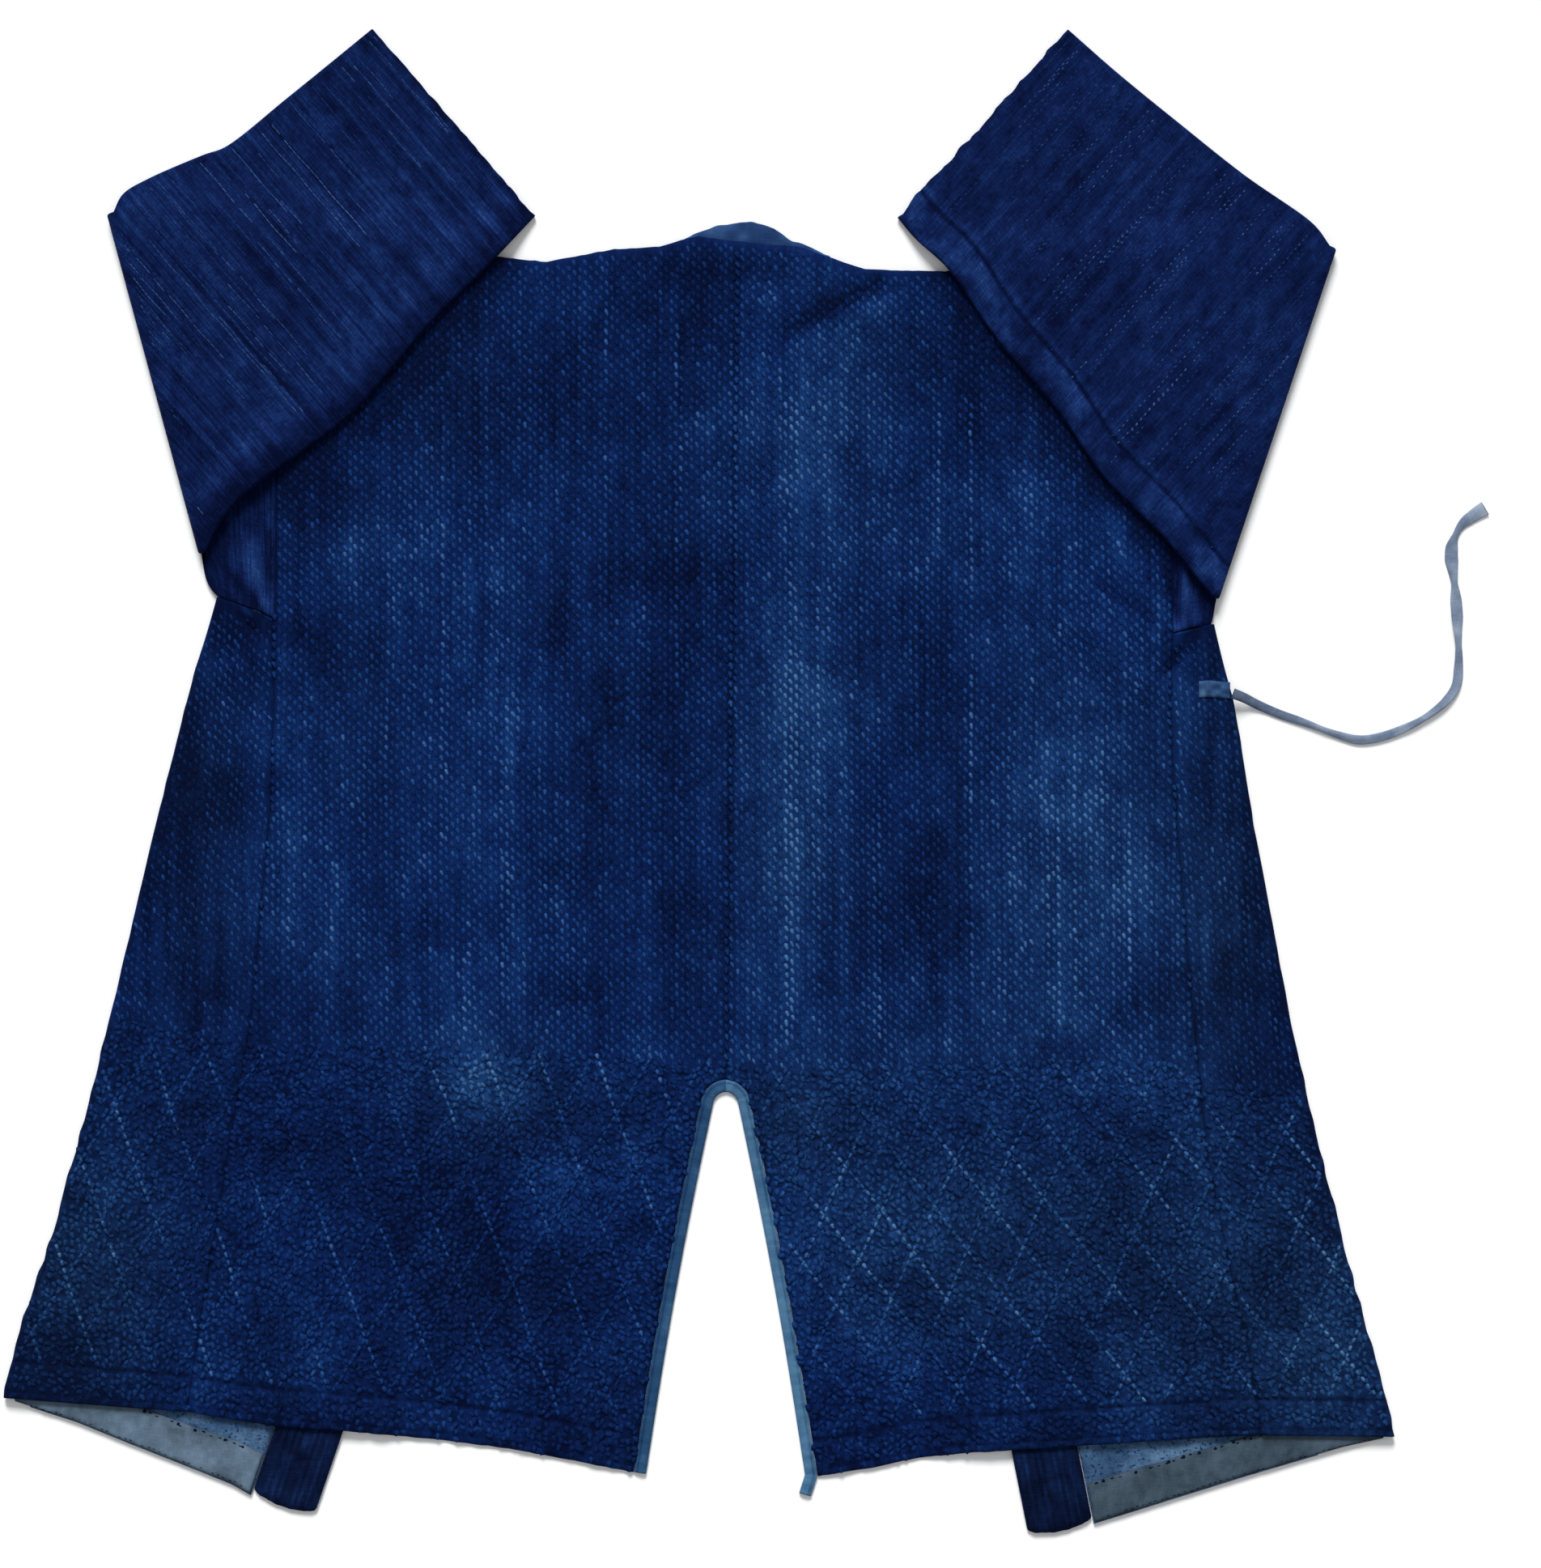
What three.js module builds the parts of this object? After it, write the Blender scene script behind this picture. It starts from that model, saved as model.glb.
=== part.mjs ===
// Sashiko noragi work jacket, laid flat on its front: back up, fronts spread open under it,
// both sleeves folded over the back. Millimetres, +Z up, +Y toward the collar.
// The origin is on the surface it lies on, under the middle of the laid jacket without its tie.
import * as THREE from "three";

// Driving sizes of the cloth
const BODY_CLOTH = 1.8;
const SLEEVE_CLOTH = 1.5;
const TAPE_CLOTH = 1.0;
const SEAM_GAP = 0.3;
const BAND_WIDTH = 42;
const BAND_THICK = 3.4;
const BINDING_WIDTH = 8;
const BINDING_THICK = 2.6;
const SLEEVE_HOLLOW = 0.6;
const FELLED_SEAM_WIDTH = 21;
const FELLED_SEAM_RAISE = 0.9;

// Driving sizes of the lay
const HALF_WIDTH = 447;
const OVER_FRONTS = 3.8;
const OVER_ARMHOLE = BODY_CLOTH + SEAM_GAP;
const OVER_BACK = 6.3;
const BAND_DROP = 64;
const BAND_CLEAR = 5;
const COLLAR_SPAN = { middle: 35, half: 70, fade: 24 };
const ARMHOLE_DROP = 30;
const SLEEVE_DROP = 34;

// The centre-back vent: a slit that the lay has spread into a round-topped flare with bowed sides
const VENT = { x: 17, topY: -191, length: 252, arch: 13, flare: 0.183, bow: 2.4 };
const VENT_STEPS = 12;
const BINDING_TAIL = [-4.2, -13.3];

/** Rows of numbers turned into objects with named columns. */
const table = (names, rows) => {
  const keys = names.split(" ");
  return rows.map((row) => Object.fromEntries(keys.map((key, i) => [key, row[i]])));
};

// Body courses from armpit (t = 0) to hem (t = 1): where the gores' back seams and the outline folds
// lie, and how wide a gore is; what a gore has more than the way to its fold lies under
const COURSES = table("t seamLeft foldLeft seamRight foldRight gore", [
  [0.0, -273.5, -309.5, 304, 330.5, 50],
  [0.1, -272.5, -325.3, 302, 344, 61],
  [0.25, -275.5, -344.8, 307, 356.5, 77],
  [0.5, -287, -375.2, 318, 381, 96],
  [0.65, -300, -394.5, 326, 399, 105],
  [0.8, -312.5, -416.1, 341.5, 419, 115],
  [0.9, -321, -433.8, 353, 433.5, 123],
  [1.0, -328.5, -HALF_WIDTH, 360.5, HALF_WIDTH, 136],
]);

const COURSE_ROWS = 18;

const SIDES = {
  left: { sign: -1, armholeX: -272, shoulderY: 353, seamY: [104, -404], foldY: [117.5, -395] },
  right: { sign: 1, armholeX: 304, shoulderY: 339, seamY: [95, -419], foldY: [100, -420] },
};

// Shoulders and back neck seam, from the left armhole to the right one
const TOP_EDGE = table("x y", [
  [-272, 353],
  [-158, 340],
  [-98, 333.5],
  [-56, 341.5],
  [-26, 343],
  [-2, 350],
  [25, 346.5],
  [64, 343],
  [83, 336.5],
  [107, 328.5],
  [158, 327.5],
  [304, 339],
]);

// The back's hem, left and right of the vent
const HEM_EDGE = table("x y", [
  [-328.5, -404],
  [-275, -412.5],
  [-229, -416],
  [-171, -421.5],
  [-124, -427.5],
  [-85, -434.5],
  [-42, -443],
  [76, -445.5],
  [108, -440.5],
  [142, -433.5],
  [175, -430],
  [245, -425.5],
  [338, -419.5],
  [360.5, -419],
]);

// Collar bands, straight from the neck down to their free ends under the hem
const BANDS = {
  left: { top: [4.5, 326.5], end: [-267.5, -465] },
  right: { top: [70.5, 326.5], end: [232.3, -480.8] },
};

// The fronts' hems, each from its gore fold to its band
const FRONT_HEMS = {
  left: table("x y", [
    [-446, -396],
    [-399.5, -411],
    [-366.5, -424.5],
    [-333.5, -437.5],
    [-300, -451],
    [-286, -459],
  ]),
  right: table("x y", [
    [446, -420.5],
    [413.5, -427.5],
    [353.5, -445],
    [294.5, -463.5],
    [248, -478],
  ]),
};
const FACING = { depth: 25, fromHem: 0.8, fromFold: 7, fromBand: 1.2, slant: 0.28 };

// The back neck seam's middle, and the collar's edge past it
const NECK_X = 25;
const NECK_Y = 346.5;
const NAPE_FOOT = 334.5;
const NAPE = table("x y", [
  [-16, 345.5],
  [-4, 351.5],
  [11, 357],
  [34, 360],
  [48, 355.5],
  [57, 348.5],
  [72, 343],
  [84, 337],
]);

// Folded sleeves, seen from above: the edge that hangs from the shoulder and the underarm edge,
// each from the fold to the cuff
const SLEEVES = {
  left: {
    underarm: table("x y", [
      [-321, 146],
      [-305, 172],
      [-275, 197.5],
      [-251.5, 214],
      [-220.5, 238],
      [-170.5, 295.5],
      [-131, 335],
      [-105.5, 363],
    ]),
    shoulder: table("x y", [
      [-380, 364],
      [-373, 376],
      [-356, 386.5],
      [-319, 402.5],
      [-305, 407.5],
      [-263.5, 440],
      [-210, 483.5],
    ]),
    armpit: [[-290, 112], [-308.8, 118.8]],
    felled: 0,
  },
  right: {
    underarm: table("x y", [
      [333.5, 117],
      [320.5, 132],
      [299.5, 156.5],
      [261.5, 193.5],
      [229, 239],
      [192, 282],
      [160, 328],
      [139, 348],
      [127.5, 362],
    ]),
    shoulder: table("x y", [
      [409, 342],
      [397, 357],
      [349.5, 390.5],
      [309.5, 422],
      [269.5, 454.5],
      [237, 483],
    ]),
    armpit: [[316, 98], [328.5, 101.3]],
    felled: FELLED_SEAM_RAISE,
  },
};

// Where the laid body ends under the folded sleeves
const SHOULDER_LINES = {
  left: { from: [-380, 366], to: [-98, 334] },
  right: { from: [107, 328.5], to: [409, 343.5] },
};

// Soft folds that lift the cloth of the back and gores: from, to, half width and height
const FOLDS = table("x1 y1 x2 y2 width height", [
  [123, 322, 56, 291, 14, 2.6],
  [-262, 96, -300, 70, 9, 2.4],
  [298, 86, 262, 130, 10, 2.6],
  [300, 60, 215, 120, 12, 1.6],
  [-300, 60, -306, -40, 13, 1.5],
  [-120, -330, -60, -436, 16, 1.4],
  [120, -330, 100, -438, 16, 1.4],
]);

// The waist tie's tab and the tie's route over the surface, chosen point by point
const TAB = { low: [320.5, 54], high: [340.5, 64.5], thick: 1.5, top: 6.1 };
const TIE = { width: 7, thick: 1.5 };
const TIE_ROUTE = table("x y z", [
  [342.2, 56.8, 7.2],
  [349, 54.2, 5.4],
  [355.7, 51, 2.6],
  [363, 47.6, 0.95],
  [372.3, 43.7, 0.75],
  [390.5, 37.4, 0.75],
  [408.7, 30.7, 0.75],
  [423.8, 27, 0.75],
  [438.4, 29.1, 0.75],
  [455, 35.4, 0.75],
  [469.6, 43.7, 0.75],
  [480.5, 53, 0.75],
  [486.2, 62, 0.75],
  [487.8, 76.4, 0.75],
  [487.2, 98.8, 0.75],
  [486.7, 109.7, 0.75],
  [485.2, 126.4, 0.75],
  [483.1, 146.6, 0.75],
  [484.6, 155.5, 0.75],
  [489.5, 164.8, 0.75],
  [499, 172.2, 0.75],
  [504.9, 175.8, 0.75],
]);

// Colours of the cloths
const CLOTHS = {
  indigo: { color: 0x0e2a5e, roughness: 0.92 },
  sleeve: { color: 0x10265c, roughness: 0.92 },
  band: { color: 0x0a1f47, roughness: 0.9 },
  lining: { color: 0x3a5f8f, roughness: 0.93 },
  facing: { color: 0x5a6f82, roughness: 0.93 },
  binding: { color: 0x2b5c7c, roughness: 0.9 },
  tie: { color: 0x4c6384, roughness: 0.9 },
};

const mix = (a, b, t) => a + (b - a) * t;
const clamp01 = (t) => Math.min(1, Math.max(0, t));
const ease = (t) => clamp01(t) ** 2 * (3 - 2 * clamp01(t));

/** The value of one column of a table where another column has the value `at`, straight between rows. */
function lookUp(rows, by, at, wanted) {
  const rising = rows[rows.length - 1][by] > rows[0][by];
  let i = 1;
  while (i < rows.length - 1 && (rising ? rows[i][by] < at : rows[i][by] > at)) i += 1;
  const [a, b] = [rows[i - 1], rows[i]];
  return mix(a[wanted], b[wanted], clamp01((at - a[by]) / (b[by] - a[by])));
}

/** A smooth curve through a table's x and y columns. */
const curveThrough = (rows) =>
  new THREE.CatmullRomCurve3(
    rows.map(({ x, y }) => new THREE.Vector3(x, y, 0)),
    false,
    "centripetal",
  );

/**
 * A closed wall: `outer` and `inner` are the same sheet of points twice, and `faces` its triangles,
 * counter-clockwise from the outer side. Every open edge of the sheet gets a rim.
 */
function wall(outer, inner, faces) {
  const count = outer.length;
  const edges = new Map();
  for (const face of faces) {
    face.forEach((a, i) => edges.set(`${a},${face[(i + 1) % 3]}`, [a, face[(i + 1) % 3]]));
  }
  const index = [];
  for (const [a, b, c] of faces) index.push(a, b, c, a + count, c + count, b + count);
  for (const [a, b] of edges.values()) {
    if (!edges.has(`${b},${a}`)) index.push(b, a, a + count, b, a + count, b + count);
  }
  const geometry = new THREE.BufferGeometry().setFromPoints([...outer, ...inner]);
  geometry.setIndex(volumeOf([...outer, ...inner], index) > 0 ? index : flipped(index));
  return geometry;
}

/** Six times the signed volume inside a closed mesh. */
function volumeOf(points, index) {
  let sum = 0;
  for (let i = 0; i < index.length; i += 3) {
    const [a, b, c] = [points[index[i]], points[index[i + 1]], points[index[i + 2]]];
    sum += a.dot(new THREE.Vector3().crossVectors(b, c));
  }
  return sum;
}

function flipped(index) {
  const turned = [...index];
  for (let i = 0; i < turned.length; i += 3) [turned[i], turned[i + 1]] = [turned[i + 1], turned[i]];
  return turned;
}

/** Triangles of a grid of `rows` by `columns` points; a looped grid closes on itself across. */
function gridFaces(rows, columns, { looped = false, at = (i, j) => i * columns + j } = {}) {
  const faces = [];
  const across = looped ? columns : columns - 1;
  for (let i = 0; i < rows - 1; i += 1) {
    for (let j = 0; j < across; j += 1) {
      const next = (j + 1) % columns;
      const [a, b, c, d] = [at(i, j), at(i, next), at(i + 1, next), at(i + 1, j)];
      faces.push([a, b, c], [a, c, d]);
    }
  }
  return faces;
}

/** A wall over a grid: `place(i, j)` gives the point on its underside, and `thick(i, j)` its height. */
function gridWall(rows, columns, place, thick) {
  const [outer, inner] = [[], []];
  for (let i = 0; i < rows; i += 1) {
    for (let j = 0; j < columns; j += 1) {
      const low = place(i, j);
      inner.push(low);
      outer.push(low.clone().setZ(low.z + thick(i, j)));
    }
  }
  return wall(outer, inner, gridFaces(rows, columns));
}

/** Half the vent's width at a distance below its top: a round arch, a straight flare and a bow. */
function ventHalf(below) {
  const left = 1 - clamp01(below / VENT.arch);
  const bow = VENT.bow * Math.sin((Math.PI * below) / VENT.length);
  return VENT.arch * Math.sqrt(1 - left ** 2) + VENT.flare * below + bow;
}

/** The x of a band's edge at a height y: `edge` is -1 for its left edge and 1 for its right edge. */
function bandEdge(side, y, edge) {
  const { top, end } = BANDS[side];
  const slope = (end[0] - top[0]) / (end[1] - top[1]);
  return top[0] + slope * (y - top[1]) + (edge * BAND_WIDTH * Math.hypot(1, slope)) / 2;
}

/** How far the soft folds lift the cloth at a point. */
function foldLift(x, y) {
  let lift = 0;
  for (const { x1, y1, x2, y2, width, height } of FOLDS) {
    const [dx, dy] = [x2 - x1, y2 - y1];
    const along = ((x - x1) * dx + (y - y1) * dy) / (dx * dx + dy * dy);
    const near = clamp01(along);
    const away = Math.hypot(x - x1 - near * dx, y - y1 - near * dy) / width;
    lift += height * Math.exp(-away * away) * (0.35 + 0.65 * Math.sin(Math.PI * near));
  }
  return lift;
}

/** The height of the back's underside: over fronts and bands, down in the gap between the bands. */
function backLift(x, y) {
  const inGap = Math.min(x - bandEdge("left", y, 1), bandEdge("right", y, -1) - x);
  let lift = OVER_FRONTS * (1 - ease((inGap - BAND_CLEAR) / BAND_DROP));
  for (const side of Object.values(SIDES)) {
    const below = clamp01((side.seamY[0] - y) / ARMHOLE_DROP);
    const fromArmhole = clamp01(Math.abs(x - side.armholeX) / ARMHOLE_DROP);
    lift = Math.min(lift, mix(OVER_ARMHOLE, OVER_FRONTS, ease(Math.max(below, fromArmhole))));
  }
  const fromShoulder = (lookUp(TOP_EDGE, "x", x, "y") - y) / ARMHOLE_DROP;
  const collar = 1 - ease((Math.abs(x - COLLAR_SPAN.middle) - COLLAR_SPAN.half) / COLLAR_SPAN.fade);
  lift = Math.min(lift, mix(OVER_ARMHOLE, OVER_FRONTS, Math.max(ease(fromShoulder), collar)));
  return lift + foldLift(x, y);
}

/** A point of a side's gore seam or outline fold, from armpit (0) to hem (1). */
function sidePoint(side, line, t) {
  const name = line + (side === "left" ? "Left" : "Right");
  const [from, to] = SIDES[side][`${line}Y`];
  return new THREE.Vector2(lookUp(COURSES, "t", t, name), mix(from, to, t));
}

/** The height of what a folded sleeve lies on: the back, or the surface past the shoulder line. */
function sleeveLift(side, x, y) {
  const { from, to } = SHOULDER_LINES[side];
  const [dx, dy] = [to[0] - from[0], to[1] - from[1]];
  const outside = ((x - from[0]) * -dy + (y - from[1]) * dx) / Math.hypot(dx, dy);
  return OVER_BACK * (1 - ease(outside / SLEEVE_DROP));
}

/** One course of a gore: its seam point, the way across, its width to the fold and what goes under. */
function goreCourse(side, t) {
  const seam = sidePoint(side, "seam", t);
  const across = sidePoint(side, "fold", t).sub(seam);
  const width = across.length();
  return { seam, across: across.normalize(), width, under: lookUp(COURSES, "t", t, "gore") - width };
}

/** How far below the vent's top each of its steps lies, closest together round the arch. */
const ventStep = (k) => VENT.length * (Math.max(0, k) / VENT_STEPS) ** 1.8;

/** A point of the cloth's edge at the vent, a distance below its top, on its left or right. */
function ventEdge(sign, below) {
  const hemX = VENT.x + sign * ventHalf(VENT.length);
  const length = VENT.topY - lookUp(HEM_EDGE, "x", hemX, "y");
  return new THREE.Vector2(VENT.x + sign * ventHalf(below), VENT.topY - (below / VENT.length) * length);
}

// How fast the courses of the back straighten out away from its top edge and from its hem
const TOP_BOW_FADE = 3;
const HEM_BOW_FADE = 6;

/** The back: one width of cloth from shoulders to hem, slit up its middle by the vent. */
function backGeometry() {
  const topRow = 24;
  const half = 12;
  const armpitRow = 9;
  const rows = topRow + VENT_STEPS + 1;
  const ventShare = 0.58;
  const ventTop = new THREE.Vector2(VENT.x, VENT.topY);
  const neck = new THREE.Vector2(NECK_X, NECK_Y);

  const sideEdge = (side, i) => {
    const { armholeX, shoulderY, seamY, sign } = SIDES[side];
    const inward = (-sign * SEAM_GAP) / 2;
    if (i <= armpitRow) {
      return new THREE.Vector2(armholeX + inward, mix(shoulderY, seamY[0], i / armpitRow));
    }
    const down = (i - armpitRow) / (topRow - armpitRow);
    const t = i <= topRow ? ventShare * down : mix(ventShare, 1, ventStep(i - topRow) / VENT.length);
    return sidePoint(side, "seam", t).add(new THREE.Vector2(inward, 0));
  };
  const middle = (side, i) => {
    if (i <= topRow) return neck.clone().lerp(ventTop, i / topRow);
    return ventEdge(SIDES[side].sign, ventStep(i - topRow));
  };
  const spread = (k) => 1 - (1 - k / half) ** 1.25;

  const place = (side, i, k) => {
    const [edge, centre] = [sideEdge(side, i), middle(side, i)];
    const u = spread(k);
    const p = edge.clone().lerp(centre, u);
    const [topEdge, topCentre] = [sideEdge(side, 0), middle(side, 0)];
    const topX = mix(topEdge.x, topCentre.x, u);
    const topBow = lookUp(TOP_EDGE, "x", topX, "y") - mix(topEdge.y, topCentre.y, u);
    const [hemEdge, hemCentre] = [sideEdge(side, rows - 1), middle(side, rows - 1)];
    const hemX = mix(hemEdge.x, hemCentre.x, u);
    const hemBow = lookUp(HEM_EDGE, "x", hemX, "y") - mix(hemEdge.y, hemCentre.y, u);
    const down = i / (rows - 1);
    const y = p.y + topBow * (1 - clamp01(down * TOP_BOW_FADE)) ** 1.5 + hemBow * down ** HEM_BOW_FADE;
    return new THREE.Vector3(p.x, y, backLift(p.x, y));
  };

  const [outer, inner, faces] = [[], [], []];
  const numbers = {};
  const add = (key, point) => {
    numbers[key] = inner.length;
    inner.push(point);
    outer.push(point.clone().setZ(point.z + BODY_CLOTH));
  };
  for (const side of ["left", "right"]) {
    for (let i = 0; i < rows; i += 1) {
      for (let k = 0; k <= half; k += 1) {
        const shared = side === "right" && k === half && i <= topRow;
        if (shared) numbers[`right ${i} ${k}`] = numbers[`left ${i} ${k}`];
        else add(`${side} ${i} ${k}`, place(side, i, k));
      }
    }
    const at = (i, k) => numbers[`${side} ${i} ${side === "left" ? k : half - k}`];
    faces.push(...gridFaces(rows, half + 1, { at }));
  }
  return wall(outer, inner, faces);
}

/** A side gore: from the back seam over the outline fold and a little way under, armpit to hem. */
function goreGeometry(side) {
  const rows = COURSE_ROWS + 1;
  const flatSteps = 4;
  const bendSteps = 5;
  const bend = OVER_FRONTS / 2;
  const half = BODY_CLOTH / 2;
  const [outer, inner] = [[], []];
  for (let i = 0; i < rows; i += 1) {
    const { seam, across, width, under } = goreCourse(side, i / COURSE_ROWS);
    const crest = width - bend - half;
    const seamTop = backLift(seam.x, seam.y) - foldLift(seam.x, seam.y) + half;
    const crestTop = OVER_FRONTS + half;
    const add = (a, z, outwardA, outwardZ, lifted) => {
      for (const [points, offset] of [[outer, half], [inner, -half]]) {
        const p = seam.clone().addScaledVector(across, a + outwardA * offset);
        const lift = lifted ? foldLift(p.x, p.y) : 0;
        points.push(new THREE.Vector3(p.x, p.y, z + outwardZ * offset + lift));
      }
    };
    for (let k = 0; k < flatSteps; k += 1) {
      const share = k / flatSteps;
      add(mix(SEAM_GAP / 2, crest, share), mix(seamTop, crestTop, ease(share * 2)), 0, 1, true);
    }
    for (let k = 0; k <= bendSteps; k += 1) {
      const turn = Math.PI * (0.5 - k / bendSteps);
      const [outwardA, outwardZ] = [Math.cos(turn), Math.sin(turn)];
      add(crest + bend * outwardA, crestTop - bend + bend * outwardZ, outwardA, outwardZ, false);
    }
    add(width - under, half, 0, -1, false);
  }
  return wall(outer, inner, gridFaces(rows, flatSteps + bendSteps + 2));
}

/** A front: flat on the surface under the back, from armhole and gore to its collar band. */
function frontGeometry(side) {
  const armholeRows = 5;
  const columns = 6;
  const { sign, armholeX, shoulderY, seamY } = SIDES[side];
  const bandSide = (y) => bandEdge(side, y, sign) + sign * SEAM_GAP;
  const outside = [];
  for (let i = 0; i <= armholeRows; i += 1) {
    const y = mix(shoulderY, seamY[0], i / armholeRows);
    outside.push(new THREE.Vector2(armholeX - (sign * SEAM_GAP) / 2, y));
  }
  for (let i = 1; i <= COURSE_ROWS; i += 1) {
    const { seam, across, width, under } = goreCourse(side, i / COURSE_ROWS);
    outside.push(seam.addScaledVector(across, width - under - SEAM_GAP));
  }
  const rows = outside.length;
  const hem = FRONT_HEMS[side];
  const napeX = (sign < 0 ? NAPE[0].x : NAPE[NAPE.length - 1].x) + sign;
  const [topY, endY] = [lookUp(TOP_EDGE, "x", napeX, "y"), hem[hem.length - 1].y];
  const neckX = sign * Math.max(sign * napeX, sign * bandSide(topY) + 1);
  const place = (i, j) => {
    const insideY = mix(topY, endY, i / (rows - 1));
    const inside = new THREE.Vector2(i === 0 ? neckX : bandSide(insideY), insideY);
    const { x, y } = outside[i].clone().lerp(inside, j / (columns - 1));
    if (i === 0) return new THREE.Vector3(x, lookUp(TOP_EDGE, "x", x, "y"), 0);
    if (i === rows - 1) return new THREE.Vector3(x, lookUp(hem, "x", x, "y"), 0);
    return new THREE.Vector3(x, y, 0);
  };
  return gridWall(rows, columns, place, () => BODY_CLOTH);
}

/** The tape that faces a front's hem, on the front's inner side, which lies upward. */
function facingGeometry(side) {
  const steps = 9;
  const hem = FRONT_HEMS[side];
  const { sign } = SIDES[side];
  const { top, end } = BANDS[side];
  const bandSlope = (end[0] - top[0]) / (end[1] - top[1]);
  const foldSide = hem[0].x - sign * FACING.fromFold;
  const bandSide = bandEdge(side, hem[hem.length - 1].y, sign) + sign * FACING.fromBand;
  const place = (i, j) => {
    const x = mix(foldSide, bandSide, i / steps);
    const depth = FACING.depth * ease(0.25 + (i / steps) * 2);
    const y = lookUp(hem, "x", x, "y") + FACING.fromHem + depth * j;
    const lean = mix(sign * FACING.slant, bandSlope, i / steps);
    return new THREE.Vector3(x + lean * depth * j, y, BODY_CLOTH + SEAM_GAP);
  };
  return gridWall(steps + 1, 2, place, () => TAPE_CLOTH);
}

/** A collar band: folded double, with soft long edges and a rounded free end. */
function bandGeometry(side) {
  const corner = 10;
  const softEdge = 1.1;
  const edges = [-1, -0.93, 0, 0.93, 1];
  const turns = [0, 0.35, 0.65, 0.85, 0.95];
  const from = new THREE.Vector2(...BANDS[side].top);
  const along = new THREE.Vector2(...BANDS[side].end).sub(from);
  const length = along.length();
  along.normalize();
  const straight = [0, 0.2, 0.4, 0.6, 0.8].map((share) => share * (length - corner));
  const stations = [...straight, ...turns.map((turn) => length - corner + corner * turn), length];
  const place = (i, j) => {
    const intoCorner = clamp01((stations[i] - length + corner) / corner);
    const narrow = corner * (1 - Math.sqrt(1 - intoCorner ** 2)) * 0.8;
    const w = edges[j] * (BAND_WIDTH / 2 - narrow);
    const x = from.x + along.x * stations[i] - along.y * w;
    return new THREE.Vector3(x, from.y + along.y * stations[i] + along.x * w, 0);
  };
  const soft = (i, j) => Math.abs(edges[j]) === 1 || i === stations.length - 1;
  const thick = (i, j) => BAND_THICK - (soft(i, j) ? softEdge : 0);
  return gridWall(stations.length, edges.length, place, thick);
}

/** The collar at the nape: its folded top stands out past the back neck seam as a flat lens. */
function napeGeometry() {
  const place = (i, j) => {
    const { x, y } = NAPE[i];
    return new THREE.Vector3(x, mix(NAPE_FOOT, y, j / 3), 0);
  };
  const thick = (i, j) => BAND_THICK - (j === 3 ? 1.1 : 0);
  return gridWall(NAPE.length, 4, place, thick);
}

/** The tape that binds the vent: up one side, round the top, down the other, with its loose tail. */
function bindingGeometry() {
  const softEdge = 0.9;
  const edge = [];
  for (let k = VENT_STEPS; k > 0; k -= 1) edge.push(ventEdge(-1, ventStep(k)));
  for (let k = 0; k <= VENT_STEPS; k += 1) edge.push(ventEdge(1, ventStep(k)));
  const path = edge.map((p, i) => {
    const before = edge[Math.max(0, i - 1)];
    const after = edge[Math.min(edge.length - 1, i + 1)];
    const along = after.clone().sub(before).normalize();
    return { p, inward: new THREE.Vector2(along.y, -along.x) };
  });
  const last = path[path.length - 1];
  path.push({ p: last.p.clone().add(new THREE.Vector2(...BINDING_TAIL)), inward: last.inward });
  const across = [SEAM_GAP, SEAM_GAP + 1, BINDING_WIDTH - 1, BINDING_WIDTH];
  const place = (i, j) => {
    const { p, inward } = path[i];
    return new THREE.Vector3(p.x + inward.x * across[j], p.y + inward.y * across[j], 0);
  };
  const thick = (i, j) => BINDING_THICK - (j === 0 || j === 3 ? softEdge : 0);
  return gridWall(path.length, across.length, place, thick);
}

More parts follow.
